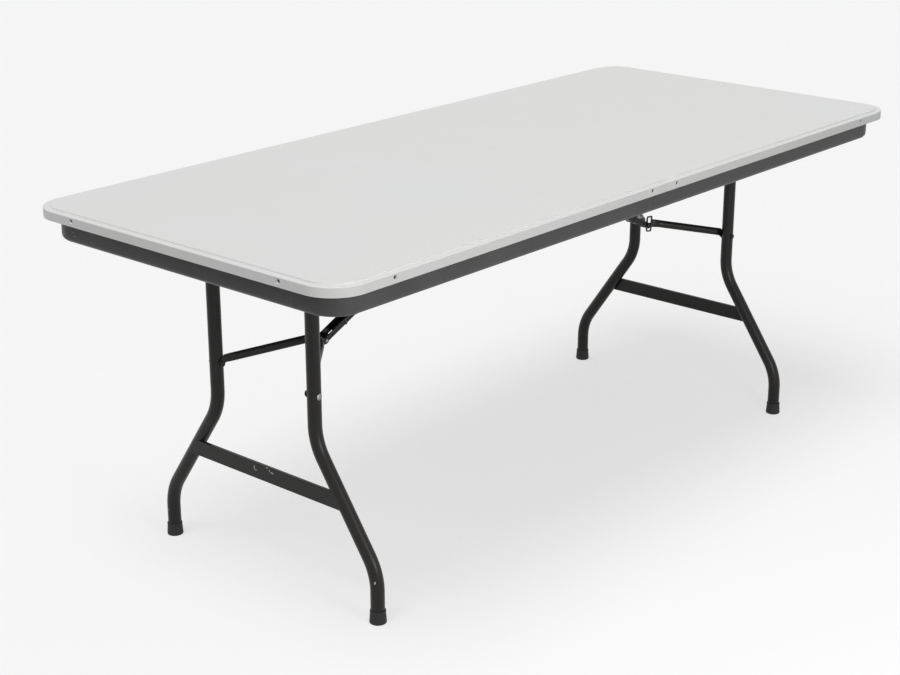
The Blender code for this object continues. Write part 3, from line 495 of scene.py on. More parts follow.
def moulded_plastic(name, colour):
    """Satin moulded plastic: a fine grain, hairline scuffs and a slight unevenness of tone."""
    finish, tree, shader, place = new_finish(name)
    tone = speckle(tree, place, 2.2, 0.3, 0.7, 2.0)
    warm = tuple(c * s for c, s in zip(colour, (1.0, 0.995, 0.975)))
    cool = tuple(min(1.0, c * s) for c, s in zip(colour, (0.99, 1.0, 1.01)))
    body = mix_colour(tree, tone, warm, cool)
    stretch = add_node(tree, "ShaderNodeMapping", {"Vector": place, "Scale": (14.0, 90.0, 30.0),
                                                   "Rotation": (0, 0, radians(24))})
    scuffs = speckle(tree, stretch.outputs[0], 1.0, 0.66, 0.80, 6.0)
    scuff_share = add_node(tree, "ShaderNodeMath", {0: scuffs, 1: 0.10}, operation="MULTIPLY")
    body = mix_colour(tree, scuff_share.outputs[0], body, tuple(c * 0.86 for c in colour))
    rough = add_node(tree, "ShaderNodeMapRange", {0: scuffs, "To Min": 0.47, "To Max": 0.60})
    grain = add_node(tree, "ShaderNodeTexNoise", {"Vector": place, "Scale": 950.0, "Detail": 2.0})
    lay_surface(tree, shader, body, grain.outputs["Fac"], 0.10, 0.0003, rough)
    shader.inputs["Specular IOR Level"].default_value = 0.35
    return finish


def round_off(bm, geom, radius, steps, affect="EDGES", clamp=False):
    """Rounds edges, or a face's corners."""
    bmesh.ops.bevel(bm, geom=geom, offset=radius, offset_type="OFFSET", segments=steps,
                    profile=0.5, affect=affect, clamp_overlap=clamp, material=-1)


def screw_frames():
    """Each skirt screw's place, as a matrix whose Z axis points out of the skirt."""
    frames = {}
    for name in sorted(frame["nodes"]):
        if name.startswith("skirt_screw_"):
            low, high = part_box(name)
            middle = (low + high) / 2
            end = high.x - low.x > high.y - low.y
            out = Vector((1 if middle.x > 0 else -1, 0, 0)) if end else Vector(
                (0, 1 if middle.y > 0 else -1, 0))
            face = middle + out * (abs((LENGTH if end else WIDTH) / 2)
                                   - abs(middle.x if end else middle.y))
            frames[name] = Matrix.Translation(face) @ out.to_track_quat("Z", "Y").to_matrix().to_4x4()
    return frames


def turn_profile(bm, profile, sides, matrix=Matrix()):
    """Turns a profile of (height, radius) about Z into a closed shape."""
    before = set(bm.verts)
    line = [bm.verts.new((radius, 0, height)) for height, radius in profile]
    edges = [bm.edges.new(pair) for pair in zip(line, line[1:])]
    bmesh.ops.spin(bm, geom=line + edges, cent=(0, 0, 0), axis=(0, 0, 1), dvec=(0, 0, 0),
                   angle=2 * pi, steps=sides, use_merge=True, use_duplicate=False)
    verts = [v for v in bm.verts if v not in before]
    bmesh.ops.remove_doubles(bm, verts=verts, dist=MERGE)
    verts = [v for v in bm.verts if v not in before]
    rims = [e for e in bm.edges if e.is_boundary and e.verts[0] not in before]
    bmesh.ops.holes_fill(bm, edges=rims, sides=0)
    bmesh.ops.transform(bm, matrix=matrix, verts=verts)


plastic = moulded_plastic("white_plastic", PLASTIC_WHITE)
hole_profile = [(WALL, HOLE_MOUTH), (0.0, HOLE_MOUTH), (-HOLE_SINK, SCREW_HEAD + CLEAR),
                (-HOLE_SEAT, SCREW_HEAD + CLEAR), (-HOLE_SEAT, SCREW_SHANK + CLEAR),
                (-2 * WALL, SCREW_SHANK + CLEAR)]
for label, sign in (("near", -1), ("far", 1)):
    end_x = sign * LENGTH / 2
    spare_x = -sign * TOP_CORNER
    bm = bmesh.new()
    outline = [bm.verts.new((x, y, RIM_Z)) for x, y in (
        (spare_x, -WIDTH / 2), (end_x, -WIDTH / 2), (end_x, WIDTH / 2), (spare_x, WIDTH / 2))]
    bm.faces.new(outline)
    round_off(bm, outline[1:3], TOP_CORNER, CORNER_STEPS, "VERTICES")
    panel = bm.faces[:][0]
    rim = [e for e in panel.edges if any(abs(v.co.x - spare_x) > CLEAR for v in e.verts)]
    skirt = bmesh.ops.extrude_edge_only(bm, edges=rim)["geom"]
    bmesh.ops.translate(bm, vec=(0, 0, SKIRT_BOTTOM - RIM_Z),
                        verts=[g for g in skirt if isinstance(g, bmesh.types.BMVert)])
    bmesh.ops.recalc_face_normals(bm, faces=bm.faces)
    rim = [e for e in bm.edges if len(e.link_faces) == 2
           and all(abs(v.co.z - RIM_Z) < CLEAR for v in e.verts)]
    round_off(bm, rim, EDGE_ROUND, EDGE_STEPS)
    panel = max(bm.faces, key=lambda f: f.calc_area())
    if panel.normal.z < 0:
        bmesh.ops.reverse_faces(bm, faces=bm.faces)
    bmesh.ops.inset_region(bm, faces=[panel], thickness=RIM_WIDTH - EDGE_ROUND,
                           use_even_offset=True, use_boundary=True)
    bmesh.ops.inset_region(bm, faces=[panel], thickness=RIM_STEP_RUN, depth=RIM_STEP,
                           use_even_offset=True, use_boundary=True)
    steps = [e for e in bm.edges if len(e.link_faces) == 2
             and abs(e.link_faces[0].normal.z - e.link_faces[1].normal.z) > STEP_SLOPE
             and all(v.co.z > RIM_Z - CLEAR / 3 for v in e.verts)
             and all(abs(abs(v.co.y) - WIDTH / 2) > EDGE_ROUND * 2 for v in e.verts)
             and all(abs(abs(v.co.x) - LENGTH / 2) > EDGE_ROUND * 2 for v in e.verts)]
    round_off(bm, steps, STEP_SOFT, STEP_SOFT_STEPS, clamp=True)
    bmesh.ops.bisect_plane(bm, geom=bm.verts[:] + bm.edges[:] + bm.faces[:],
                           plane_co=(sign * PANEL_GAP / 2, 0, 0), plane_no=(sign, 0, 0),
                           clear_inner=True)
    seam_edges = [e for e in bm.edges if e.is_boundary
                  and all(abs(v.co.x - sign * PANEL_GAP / 2) < CLEAR / 4 for v in e.verts)]
    for vert in {v for e in seam_edges for v in e.verts}:
        if vert.co.z < SKIRT_BOTTOM + CLEAR:
            vert.co.x = sign * SKIRT_GAP / 2
        elif vert.co.z < HEIGHT - CLEAR:
            vert.co.x = sign * RIM_GAP / 2
    bmesh.ops.recalc_face_normals(bm, faces=bm.faces)
    if max(bm.faces, key=lambda f: f.calc_area()).normal.z < 0:
        bmesh.ops.reverse_faces(bm, faces=bm.faces)
    top = add_piece("top_" + label, bm, plastic)
    thicken(top, WALL, -1.0)
    cutter_bm = bmesh.new()
    for matrix in screw_frames().values():
        if matrix.translation.x * sign > 0:
            turn_profile(cutter_bm, hole_profile, HOLE_SIDES, matrix)
    bmesh.ops.recalc_face_normals(cutter_bm, faces=cutter_bm.faces)
    cutter = add_piece("hole_cutter", cutter_bm, plastic)
    holes = top.modifiers.new("holes", "BOOLEAN")
    holes.object = cutter
    holes.solver = "EXACT"
    holes.use_self = True
    settle(top, TOP_CREASE)
    bpy.data.objects.remove(cutter)
    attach(top, "table_frame")
    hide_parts("top_panel_" + label)


# Ribs
# A grid of ribs moulded under each half of the top, inside the skirt, with a
# rib along the seam.
RIB_WALL = 0.0025
RIB_COLUMNS = 8
RIB_ROWS = 6
RIB_CORNER_STEPS = 8
SKIRT_GROOVE = 0.0055
for label, sign in (("near", -1), ("far", 1)):
    margin = WALL + SKIRT_GROOVE
    low_x = (RIM_GAP + RIB_WALL) / 2
    high_x = LENGTH / 2 - margin
    half_y = WIDTH / 2 - margin
    bm = bmesh.new()
    bmesh.ops.create_grid(bm, x_segments=RIB_COLUMNS, y_segments=RIB_ROWS, size=0.5)
    for vert in bm.verts:
        vert.co = Vector((sign * (low_x + (vert.co.x + 0.5) * (high_x - low_x)),
                          vert.co.y * 2 * half_y, RIB_BOTTOM))
    corners = [v for v in bm.verts if abs(v.co.x) > high_x - CLEAR and abs(v.co.y) > half_y - CLEAR]
    round_off(bm, corners, TOP_CORNER - margin, RIB_CORNER_STEPS, "VERTICES")
    cells = bm.faces[:]
    bmesh.ops.inset_individual(bm, faces=cells, thickness=RIB_WALL / 2, use_even_offset=True)
    bmesh.ops.delete(bm, geom=cells, context="FACES")
    grid = bmesh.ops.extrude_face_region(bm, geom=bm.faces[:])["geom"]
    bmesh.ops.translate(bm, vec=(0, 0, HEIGHT - WALL - RIB_BOTTOM),
                        verts=[g for g in grid if isinstance(g, bmesh.types.BMVert)])
    bmesh.ops.recalc_face_normals(bm, faces=bm.faces)
    ribs = settle(add_piece("rib_grid_" + label, bm, plastic))
    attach(ribs, "table_frame")


# Skirt screws
# Twelve self-tapping screws with pan heads and a cross recess, blackened
# steel, sunk in the skirt's holes and driven into the apron's lip.
HEAD_SINK = 0.0019
HEAD_DEPTH = 0.0011
SCREW_TIP = 0.0098
TIP_SHARE = 0.3
TIP_LENGTH = 0.6
DOME_SHARE = 0.82
FLAT_SHARE = 0.5
RECESS_LENGTH = 1.1
RECESS_WIDTH = 0.26
SCREW_SIDES = 20
SCREW_TURN = 0.7
SCREW_STEEL = (0.11, 0.11, 0.115)
SCREW_ROUGHNESS = 0.38


def dark_metal(name, colour, roughness):
    """Blackened or worn bare steel, with fine turning marks and rust-brown tints."""
    finish, tree, shader, place = new_finish(name)
    stain = speckle(tree, place, 130.0, 0.5, 0.72)
    body = mix_colour(tree, stain, colour, (colour[0] * 0.75, colour[1] * 0.62, colour[2] * 0.52))
    rough = add_node(tree, "ShaderNodeMapRange",
                     {0: stain, "To Min": roughness, "To Max": roughness + 0.22})
    marks = add_node(tree, "ShaderNodeTexNoise", {"Vector": place, "Scale": 1500.0, "Detail": 2.0})
    lay_surface(tree, shader, body, marks.outputs["Fac"], 0.15, 0.0002, rough)
    shader.inputs["Metallic"].default_value = 0.85
    return finish


dark_steel = dark_metal("dark_steel", SCREW_STEEL, SCREW_ROUGHNESS)
head_base = -HEAD_SINK - HEAD_DEPTH + CLEAR / 3
screw_profile = [(-SCREW_TIP, SCREW_SHANK * TIP_SHARE),
                 (SCREW_SHANK * TIP_LENGTH - SCREW_TIP, SCREW_SHANK),
                 (head_base, SCREW_SHANK), (head_base, SCREW_HEAD),
                 (-HEAD_SINK - HEAD_DEPTH / 2, SCREW_HEAD),
                 (-HEAD_SINK - HEAD_DEPTH / 5, SCREW_HEAD * DOME_SHARE),
                 (-HEAD_SINK, SCREW_HEAD * FLAT_SHARE)]
recess_bm = bmesh.new()
for turn in (0, pi / 2):
    bmesh.ops.create_cube(recess_bm, size=1.0, matrix=(
        Matrix.Translation((0, 0, -HEAD_SINK)) @ Matrix.Rotation(turn, 4, "Z")
        @ Matrix.Diagonal((SCREW_HEAD * RECESS_LENGTH, SCREW_HEAD * RECESS_WIDTH, HEAD_DEPTH, 1.0))))
recess = add_piece("recess_cutter", recess_bm, dark_steel)
for name, matrix in screw_frames().items():
    bm = bmesh.new()
    turn_profile(bm, screw_profile, SCREW_SIDES)
    bmesh.ops.recalc_face_normals(bm, faces=bm.faces)
    screw = add_piece("pan_head_" + name[-2:], bm, dark_steel)
    cross = screw.modifiers.new("cross", "BOOLEAN")
    cross.object = recess
    cross.solver = "EXACT"
    cross.use_self = True
    settle(screw)
    turned_in = Matrix.Rotation(SCREW_TURN * int(name[-2:]), 4, "Z")
    screw.data.transform(matrix @ turned_in)
    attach(screw, "table_frame")
    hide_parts(name)
bpy.data.objects.remove(recess)


# Leg frames
# Each is one pivot tube across the apron and two legs of 27 mm round tube,
# bent out and straight again, welded under it. All are powder coated black.
TUBE_RADIUS = 0.0135
TUBE_SIDES = 40
TUBE_WALL = 0.0012
LEG_BEND = 0.112
UPPER_BEND_Z = 0.318
LOWER_BEND_Z = 0.098
LEG_BEND_STEPS = 20
BEAD = 0.0016
BEAD_WAVE = 0.02
BEAD_WAVES = 9
TUBE_ROUGHNESS = 0.34
TUBE_BLACK = (0.0135, 0.0121, 0.0112)
TUBE_GLOSS = 0.26
pivot = {}
turned_frame = {}
for label, turn in (("near", 0.0), ("far", pi)):
    low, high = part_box("pivot_tube_" + label)
    pivot[label] = (low + high) / 2
    turned_frame[label] = (Matrix.Translation((pivot[label].x, 0, 0))
                           @ Matrix.Rotation(turn, 4, "Z"))
PIVOT_Z = pivot["near"].z
leg_low, leg_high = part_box("leg_tube_near_left")
LEG_SPREAD = leg_low.y + TUBE_RADIUS
FOOT_SPREAD = leg_high.y - TUBE_RADIUS
TUBE_END = leg_low.z

# Paint chips on the near leg frame, where the photograph has them
bar_face = pivot["near"].x - TUBE_RADIUS
frame_chips = [((bar_face, 0.0222, 0.2268), (0.003, 0.0012, 0.0045)),
               ((bar_face, 0.0180, 0.2225), (0.003, 0.0032, 0.0012)),
               ((bar_face, -0.0130, 0.2352), (0.003, 0.0022, 0.0013)),
               ((bar_face, -0.0196, 0.2312), (0.003, 0.0014, 0.0022)),
               ((bar_face, -0.0262, 0.2286), (0.003, 0.0052, 0.0013)),
               ((bar_face, -0.0361, 0.2397), (0.003, 0.0011, 0.0013)),
               ((bar_face, -0.2896, 0.0858), (0.006, 0.0016, 0.0030)),
               ((bar_face, 0.2857, 0.0569), (0.006, 0.0011, 0.0018))]
CHIP_BARE = (0.50, 0.48, 0.44)
tube_paint = powder_coat("tube_paint", TUBE_BLACK, TUBE_ROUGHNESS, frame_chips, CHIP_BARE,
                         TUBE_GLOSS)


def cap_ends(bm):
    """Closes every open end of a tube and points its faces outward."""
    bmesh.ops.holes_fill(bm, edges=[e for e in bm.edges if e.is_boundary], sides=0)
    bmesh.ops.recalc_face_normals(bm, faces=bm.faces)


def start_ring(bm, place, heading, radius, sides):
    """A ring of edges square to heading, ready to be swept."""
    matrix = Matrix.Translation(place) @ Vector(heading).to_track_quat("Z", "Y").to_matrix().to_4x4()
    bmesh.ops.create_circle(bm, segments=sides, radius=radius, cap_ends=False, matrix=matrix)
    return bm.edges[:]


splay = atan2(FOOT_SPREAD - LEG_SPREAD, UPPER_BEND_Z - LOWER_BEND_Z)
setback = LEG_BEND * tan(splay / 2)
slant = hypot(FOOT_SPREAD - LEG_SPREAD, UPPER_BEND_Z - LOWER_BEND_Z) - 2 * setback
for label in ("near", "far"):
    bm = bmesh.new()
    low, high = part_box("pivot_tube_" + label)
    ring = start_ring(bm, (0, low.y, PIVOT_Z), (0, 1, 0), TUBE_RADIUS, TUBE_SIDES)
    sweep(bm, ring, (0, low.y, PIVOT_Z), (0, 1, 0), UP, [(high.y - low.y, 0, 0)], 1)
    bmesh.ops.recalc_face_normals(bm, faces=bm.faces)
    pivot_tube = add_piece("pivot_pipe_" + label, bm, tube_paint, turned_frame[label])
    thicken(pivot_tube, TUBE_WALL, -1.0)
    settle(pivot_tube)
    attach(pivot_tube, label + "_leg")
    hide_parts("pivot_tube_" + label)
    for side, hand in ((-1, "right"), (1, "left")):
        bm = bmesh.new()
        start = Vector((0, side * LEG_SPREAD, PIVOT_Z))
        ring = start_ring(bm, start, (0, 0, -1), TUBE_RADIUS, TUBE_SIDES)
        route = [(PIVOT_Z - UPPER_BEND_Z - setback, 0, 0), (0, LEG_BEND, side * splay),
                 (slant, 0, 0), (0, LEG_BEND, -side * splay),
                 (LOWER_BEND_Z - setback - TUBE_END, 0, 0)]
        sweep(bm, ring, start, (0, 0, -1), (1, 0, 0), route, LEG_BEND_STEPS)
        cap_ends(bm)
        leg = settle(add_piece("leg_pipe_%s_%s" % (label, hand), bm, tube_paint,
                               turned_frame[label]))
        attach(leg, label + "_leg")
        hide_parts("leg_tube_%s_%s" % (label, hand))

        bead = bpy.data.curves.new("weld", "CURVE")
        bead.dimensions = "3D"
        bead.bevel_depth = BEAD
        bead.bevel_resolution = 2
        joint_line = bead.splines.new("POLY")
        joint_line.points.add(TUBE_SIDES - 1)
        joint_line.use_cyclic_u = True
        reach = TUBE_RADIUS + BEAD / 4
        for i, point in enumerate(joint_line.points):
            t = 2 * pi * i / TUBE_SIDES
            wave = 1 + BEAD_WAVE * sin(BEAD_WAVES * t)
            point.co = (reach * cos(t) * wave, side * LEG_SPREAD + reach * sin(t) * wave,
                        PIVOT_Z - max(TUBE_RADIUS, reach) * abs(sin(t)) - BEAD / 4, 1.0)
        rough_bead = bpy.data.objects.new("weld", bead)
        in_scene.link(rough_bead)
        graph = bpy.context.evaluated_depsgraph_get()
        bead_mesh = bpy.data.meshes.new_from_object(rough_bead.evaluated_get(graph))
        bpy.data.objects.remove(rough_bead)
        weld = bpy.data.objects.new("leg_weld_%s_%s" % (label, hand), bead_mesh)
        in_scene.link(weld)
        bead_mesh.materials.clear()
        bead_mesh.materials.append(tube_paint)
        bead_mesh.transform(turned_frame[label])
        bead_mesh.shade_smooth()
        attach(weld, label + "_leg")


# Crossbars
# A flat bar across the splayed tubes of each frame, flush with their outer
# side and welded to them, in the tubes' paint.
BAR_EDGE = 0.0012
BAR_EDGE_STEPS = 3
for label in ("near", "far"):
    low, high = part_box("crossbar_" + label)
    outer = max(abs(low.x - pivot[label].x), abs(high.x - pivot[label].x))
    thick = high.x - low.x
    slope = (FOOT_SPREAD - LEG_SPREAD) / (UPPER_BEND_Z - LOWER_BEND_Z)
    bm = bmesh.new()
    bmesh.ops.create_cube(bm, size=1.0)
    for vert in bm.verts:
        z = low.z if vert.co.z < 0 else high.z
        tube_y = LEG_SPREAD + (UPPER_BEND_Z - z) * slope
        vert.co = Vector((-outer + (thick if vert.co.x > 0 else 0),
                          tube_y if vert.co.y > 0 else -tube_y, z))
    round_off(bm, bm.edges[:], BAR_EDGE, BAR_EDGE_STEPS, clamp=True)
    bmesh.ops.recalc_face_normals(bm, faces=bm.faces)
    bar = settle(add_piece("flat_bar_" + label, bm, tube_paint, turned_frame[label]))
    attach(bar, label + "_leg")
    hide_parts("crossbar_" + label)


# Foot caps
# Moulded black rubber cups pushed over the tube ends, a little wider at the
# floor, with a rolled upper lip.
RUBBER_BLACK = (0.0125, 0.0125, 0.0125)
CENTRE = 0.0001
CUP_TAPER = 0.915
SOLE_SHARE = 0.90
SOLE_ROUND = 0.96
SOLE_HEIGHTS = (0.0005, 0.0015, 0.0035)
LIP_START = 0.86
LIP_FULL = 0.90
LIP_SWELL = 0.0004
LIP_DROP = 0.0006
LIP_SOFT = 0.0003
SOLE_THICKNESS = 0.2
FOOT_SIDES = 48


def foot_rubber(name, colour):
    """Matt black rubber, grained and scuffed grey near the floor."""
    finish, tree, shader, place = new_finish(name)
    scuff = speckle(tree, place, 210.0, 0.58, 0.80, 4.0)
    low_down = add_node(tree, "ShaderNodeSeparateXYZ", {0: place})
    near_floor = add_node(tree, "ShaderNodeMapRange",
                          {0: low_down.outputs["Z"], "From Min": 0.014, "From Max": 0.0})
    share = add_node(tree, "ShaderNodeMath", {0: scuff, 1: near_floor.outputs[0]},
                     operation="MULTIPLY")
    body = mix_colour(tree, share.outputs[0], colour, tuple(c * 4 for c in colour))
    grain = add_node(tree, "ShaderNodeTexNoise", {"Vector": place, "Scale": 1300.0, "Detail": 3.0})
    lay_surface(tree, shader, body, grain.outputs["Fac"], 0.3, 0.0003)
    shader.inputs["Roughness"].default_value = 0.62
    shader.inputs["Specular IOR Level"].default_value = 0.4
    return finish


rubber = foot_rubber("black_rubber", RUBBER_BLACK)
for label in ("near", "far"):
    for hand in ("right", "left"):
        name = "foot_%s_%s" % (label, hand)
        low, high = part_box(name)
        bottom = (high.y - low.y) / 2
        shoulder = bottom * CUP_TAPER
        tall = high.z
        bore = TUBE_RADIUS + CLEAR / 3
        eased, full, upright = SOLE_HEIGHTS
        cup_profile = [(0.0, CENTRE), (0.0, bottom * SOLE_SHARE), (eased, bottom * SOLE_ROUND),
                       (full, bottom), (upright, bottom), (tall * LIP_START, shoulder),
                       (tall * LIP_FULL, shoulder + LIP_SWELL),
                       (tall - LIP_DROP, shoulder + LIP_SOFT), (tall, shoulder - LIP_SOFT),
                       (tall, bore), (tall * SOLE_THICKNESS, bore), (tall * SOLE_THICKNESS, CENTRE)]
        bm = bmesh.new()
        turn_profile(bm, cup_profile, FOOT_SIDES)
        bmesh.ops.recalc_face_normals(bm, faces=bm.faces)
        centre = (low + high) / 2
        foot = add_piece("foot_cap_%s_%s" % (label, hand), bm, rubber,
                         Matrix.Translation((centre.x, centre.y, 0)))
        settle(foot)
        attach(foot, label + "_leg")
        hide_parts(name)


# Leg bolts and brace nuts
# Low round-headed bolts through the legs, and the round nuts they end in,
# inside the braces' ears. All are painted over, and one head is rubbed bare.
BOLT_HEAD_DEPTH = 0.0026
BOLT_SHANK = 0.003
NUT_DEPTH = 0.0025
NUT_ROUND = 0.0007
HEAD_CURVE = ((0.75, 1.0), (0.4, 0.86), (0.15, 0.58))
FASTENER_SIDES = 32
# Light bare steel: real wear on the one rubbed bolt head, and a painted highlight on the near knee
# pin's heads.
WORN_STEEL_AND_PAINTED_GLINT = (0.30, 0.295, 0.285)
WORN_ROUGHNESS = 0.36
worn_steel = dark_metal("worn_steel", WORN_STEEL_AND_PAINTED_GLINT, WORN_ROUGHNESS)
BOLT_Z = sum(v.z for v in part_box("leg_bolt_near_left")) / 2
for label in ("near", "far"):
    for hand in ("right", "left"):
        for kind, piece_name in (("leg_bolt_", "round_bolt_"), ("brace_nut_", "round_nut_")):
            name = "%s%s_%s" % (kind, label, hand)
            low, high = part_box(name)
            middle = (low + high) / 2
            long = high.y - low.y
            radius = (high.x - low.x) / 2
            outward = 1 if middle.y > 0 else -1
            if kind == "leg_bolt_":
                head = BOLT_HEAD_DEPTH
                face_y = max(abs(low.y), abs(high.y))
                profile = [(-long, CENTRE), (-long, BOLT_SHANK), (-head, BOLT_SHANK),
                           (-head, radius)]
                profile += [(-head * deep, radius * wide) for deep, wide in HEAD_CURVE]
                profile += [(0.0, CENTRE)]
            else:
                face_y = min(abs(low.y), abs(high.y))
                profile = [(0.0, CENTRE), (0.0, radius - NUT_ROUND),
                           (NUT_ROUND / 3, radius - NUT_ROUND / 3), (NUT_ROUND, radius),
                           (NUT_DEPTH, radius), (NUT_DEPTH, BOLT_SHANK),
                           (long, BOLT_SHANK), (long, CENTRE)]
            bm = bmesh.new()
            turn_profile(bm, profile, FASTENER_SIDES)
            bmesh.ops.recalc_face_normals(bm, faces=bm.faces)
            facing = Vector((0, outward, 0)).to_track_quat("Z", "Y").to_matrix().to_4x4()
            at = Matrix.Translation((middle.x, outward * face_y, middle.z))
            finish = worn_steel if name == "leg_bolt_near_right" else tube_paint
            fastener = settle(add_piece(piece_name + label + "_" + hand, bm, finish, at @ facing))
            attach(fastener, label + ("_leg" if kind == "leg_bolt_" else "_brace"))
            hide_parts(name)


# Brace tubes
# Two round tubes from the knee to the legs, their ends pressed flat into
# ears, in the tubes' paint.
EAR_THICKNESS = 0.003
BRACE_RADIUS = 0.0086
BRACE_RISE = 0.0065
LEG_EAR_LENGTH = 0.010
LEG_EAR_TAPER = 0.014
KNEE_EAR_LENGTH = 0.0115
KNEE_EAR_TAPER = 0.0125
EAR_RADIUS = 0.0060
LEG_EAR_RADIUS = 0.0080
STOP_BAND = 0.0016
EAR_START = 0.6
BRACE_SIDES = 32
END_RINGS = 8
TUBE_RINGS = 44
BRACE_CREASE = 50
joint_place = {joint["name"]: Vector(joint["pos_m"]) for joint in frame["joints"] if "pos_m" in joint}
knee_u = abs(joint_place["near_knee"].x - pivot["near"].x)
knee_z = joint_place["near_knee"].z
short_link = hypot(knee_u, knee_z - BOLT_Z)
short_angle = atan2(knee_z - BOLT_Z, knee_u)
channel_low, channel_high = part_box("brace_channel_near")
CHANNEL_HALF = (channel_high.y - channel_low.y) / 2 - STOP_BAND
EAR_Y = CHANNEL_HALF + CLEAR + EAR_THICKNESS / 2
LEG_EAR_Y = LEG_SPREAD - TUBE_RADIUS - CLEAR - EAR_THICKNESS / 2


def ease(share):
    share = max(0.0, min(1.0, share))
    return share * share * (3 - 2 * share)


def brace_section(s):
    """Half thickness, lower and upper edge, and sideways place of a brace tube at s from the leg."""
    thin = EAR_THICKNESS / 2
    low_tube = BRACE_RISE - BRACE_RADIUS
    high_tube = BRACE_RISE + BRACE_RADIUS
    knee_flat = short_link - KNEE_EAR_LENGTH
    knee_low = -EAR_RADIUS * EAR_START
    grow = ease(s / LEG_EAR_LENGTH)
    rise = ease((s - LEG_EAR_LENGTH) / LEG_EAR_TAPER)
    fall = ease((knee_flat - s) / KNEE_EAR_TAPER)
    drop = ease((s - knee_flat) / (short_link - EAR_RADIUS / 2 - knee_flat))
    half = thin + (BRACE_RADIUS - thin) * min(rise, fall)
    low = -LEG_EAR_RADIUS + (low_tube + LEG_EAR_RADIUS) * grow
    low += (knee_low - low_tube) * (1 - fall) - (EAR_RADIUS + knee_low) * drop
    high = LEG_EAR_RADIUS + (high_tube - LEG_EAR_RADIUS) * grow
    high += (EAR_RADIUS - high_tube) * drop
    past = max(-s / LEG_EAR_RADIUS, (s - short_link) / EAR_RADIUS, 0.0)
    shrink = max(0.0, 1 - past ** 2) ** 0.5
    share = max(0.0, min(1.0, (s - LEG_EAR_LENGTH) / (knee_flat - LEG_EAR_LENGTH)))
    return half, low * shrink, high * shrink, LEG_EAR_Y + (EAR_Y - LEG_EAR_Y) * share


along = Vector((cos(short_angle), 0, sin(short_angle)))
upward = Vector((-sin(short_angle), 0, cos(short_angle)))
quarter_step = pi / 2 / END_RINGS
leg_round = [-LEG_EAR_RADIUS * cos(quarter_step * i) for i in range(END_RINGS)]
knee_round = [short_link + EAR_RADIUS * sin(quarter_step * (i + 1)) for i in range(END_RINGS)]
straight = [short_link * i / TUBE_RINGS for i in range(TUBE_RINGS + 1)]
for label in ("near", "far"):
    for side, hand in ((-1, "right"), (1, "left")):
        bm = bmesh.new()
        bmesh.ops.create_circle(bm, segments=BRACE_SIDES, radius=1.0, cap_ends=False)
        ring = bm.verts[:]
        turns = [atan2(v.co.y, v.co.x) for v in ring]
        edges = bm.edges[:]
        for number, s in enumerate(leg_round + straight + knee_round):
            if number:
                made = bmesh.ops.extrude_edge_only(bm, edges=edges)["geom"]
                lookup = {v.co.copy().freeze(): v for v in made if isinstance(v, bmesh.types.BMVert)}
                ring = [lookup[v.co.copy().freeze()] for v in ring]
                edges = [g for g in made if isinstance(g, bmesh.types.BMEdge)
                         and g.verts[0] in lookup.values() and g.verts[1] in lookup.values()]
            half, low, high, y = brace_section(s)
            tall = max((high - low) / 2, CENTRE)
            power = 1.0 - 0.5 * min(1.0, max(0.0, tall / half - 1.0))
            middle = Vector((0, side * y, BOLT_Z)) + along * s + upward * (low + high) / 2
            for vert, turn in zip(ring, turns):
                across = cos(turn)
                sideways = half * abs(across) ** power * (1 if across > 0 else -1)
                vert.co = middle + Vector((0, sideways, 0)) + upward * tall * sin(turn)
        cap_ends(bm)
        brace = settle(add_piece("brace_pipe_%s_%s" % (label, hand), bm, tube_paint,
                                 turned_frame[label]), BRACE_CREASE)
        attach(brace, label + "_brace")
        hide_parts("brace_tube_%s_%s" % (label, hand))


# Brace channels
# A strip folded into an open channel, from the knee up to the centre rail,
# with a slot in its floor. Two clips round it hold the lock ring up when the
# legs are folded: it snaps past the first and stops at the second.
CHANNEL_EDGE = 0.006
CHANNEL_FLOOR = -0.0070
CHANNEL_WALL = 0.0018
CHANNEL_BEND = 0.0016
CHANNEL_END = 0.008
SLOT_START = 0.022
SLOT_END = 0.034
SLOT_WIDTH = 0.014
CHANNEL_BEND_STEPS = 5
CHANNEL_SOFT = 0.0003
CLIP_SOFT = 0.0002
CLIPS = (("catch", 0.0585, 0.0025, dark_steel, "dark_steel"),
         ("stop", 0.0915, 0.005, tube_paint, "black_paint"))
anchor_u = abs(joint_place["near_anchor"].x - pivot["near"].x)
anchor_z = joint_place["near_anchor"].z
long_link = hypot(anchor_u - knee_u, anchor_z - knee_z)
long_angle = atan2(anchor_z - knee_z, anchor_u - knee_u)
channel_frame = (Matrix.Translation((knee_u, 0, knee_z)) @ Matrix.Rotation(-long_angle, 4, "Y"))


def folded_channel(start, end, half, low, sheet, bend):
    """An open channel along X, drawn at the middle of its sheet, with its edges at the same height."""
    bm = bmesh.new()
    edge = bm.verts.new((start, -half + sheet / 2, CHANNEL_EDGE))
    run = CHANNEL_EDGE - low - sheet / 2 - bend
    sweep(bm, [edge], edge.co, (0, 0, -1), (1, 0, 0),
          [(run, 0, 0), (0, bend, pi / 2), (2 * half - sheet - 2 * bend, 0, 0),
           (0, bend, pi / 2), (run, 0, 0)], CHANNEL_BEND_STEPS)
    sweep(bm, bm.edges[:], (start, 0, 0), (1, 0, 0), UP, [(end - start, 0, 0)], 1)
    bmesh.ops.recalc_face_normals(bm, faces=bm.faces)
    return bm


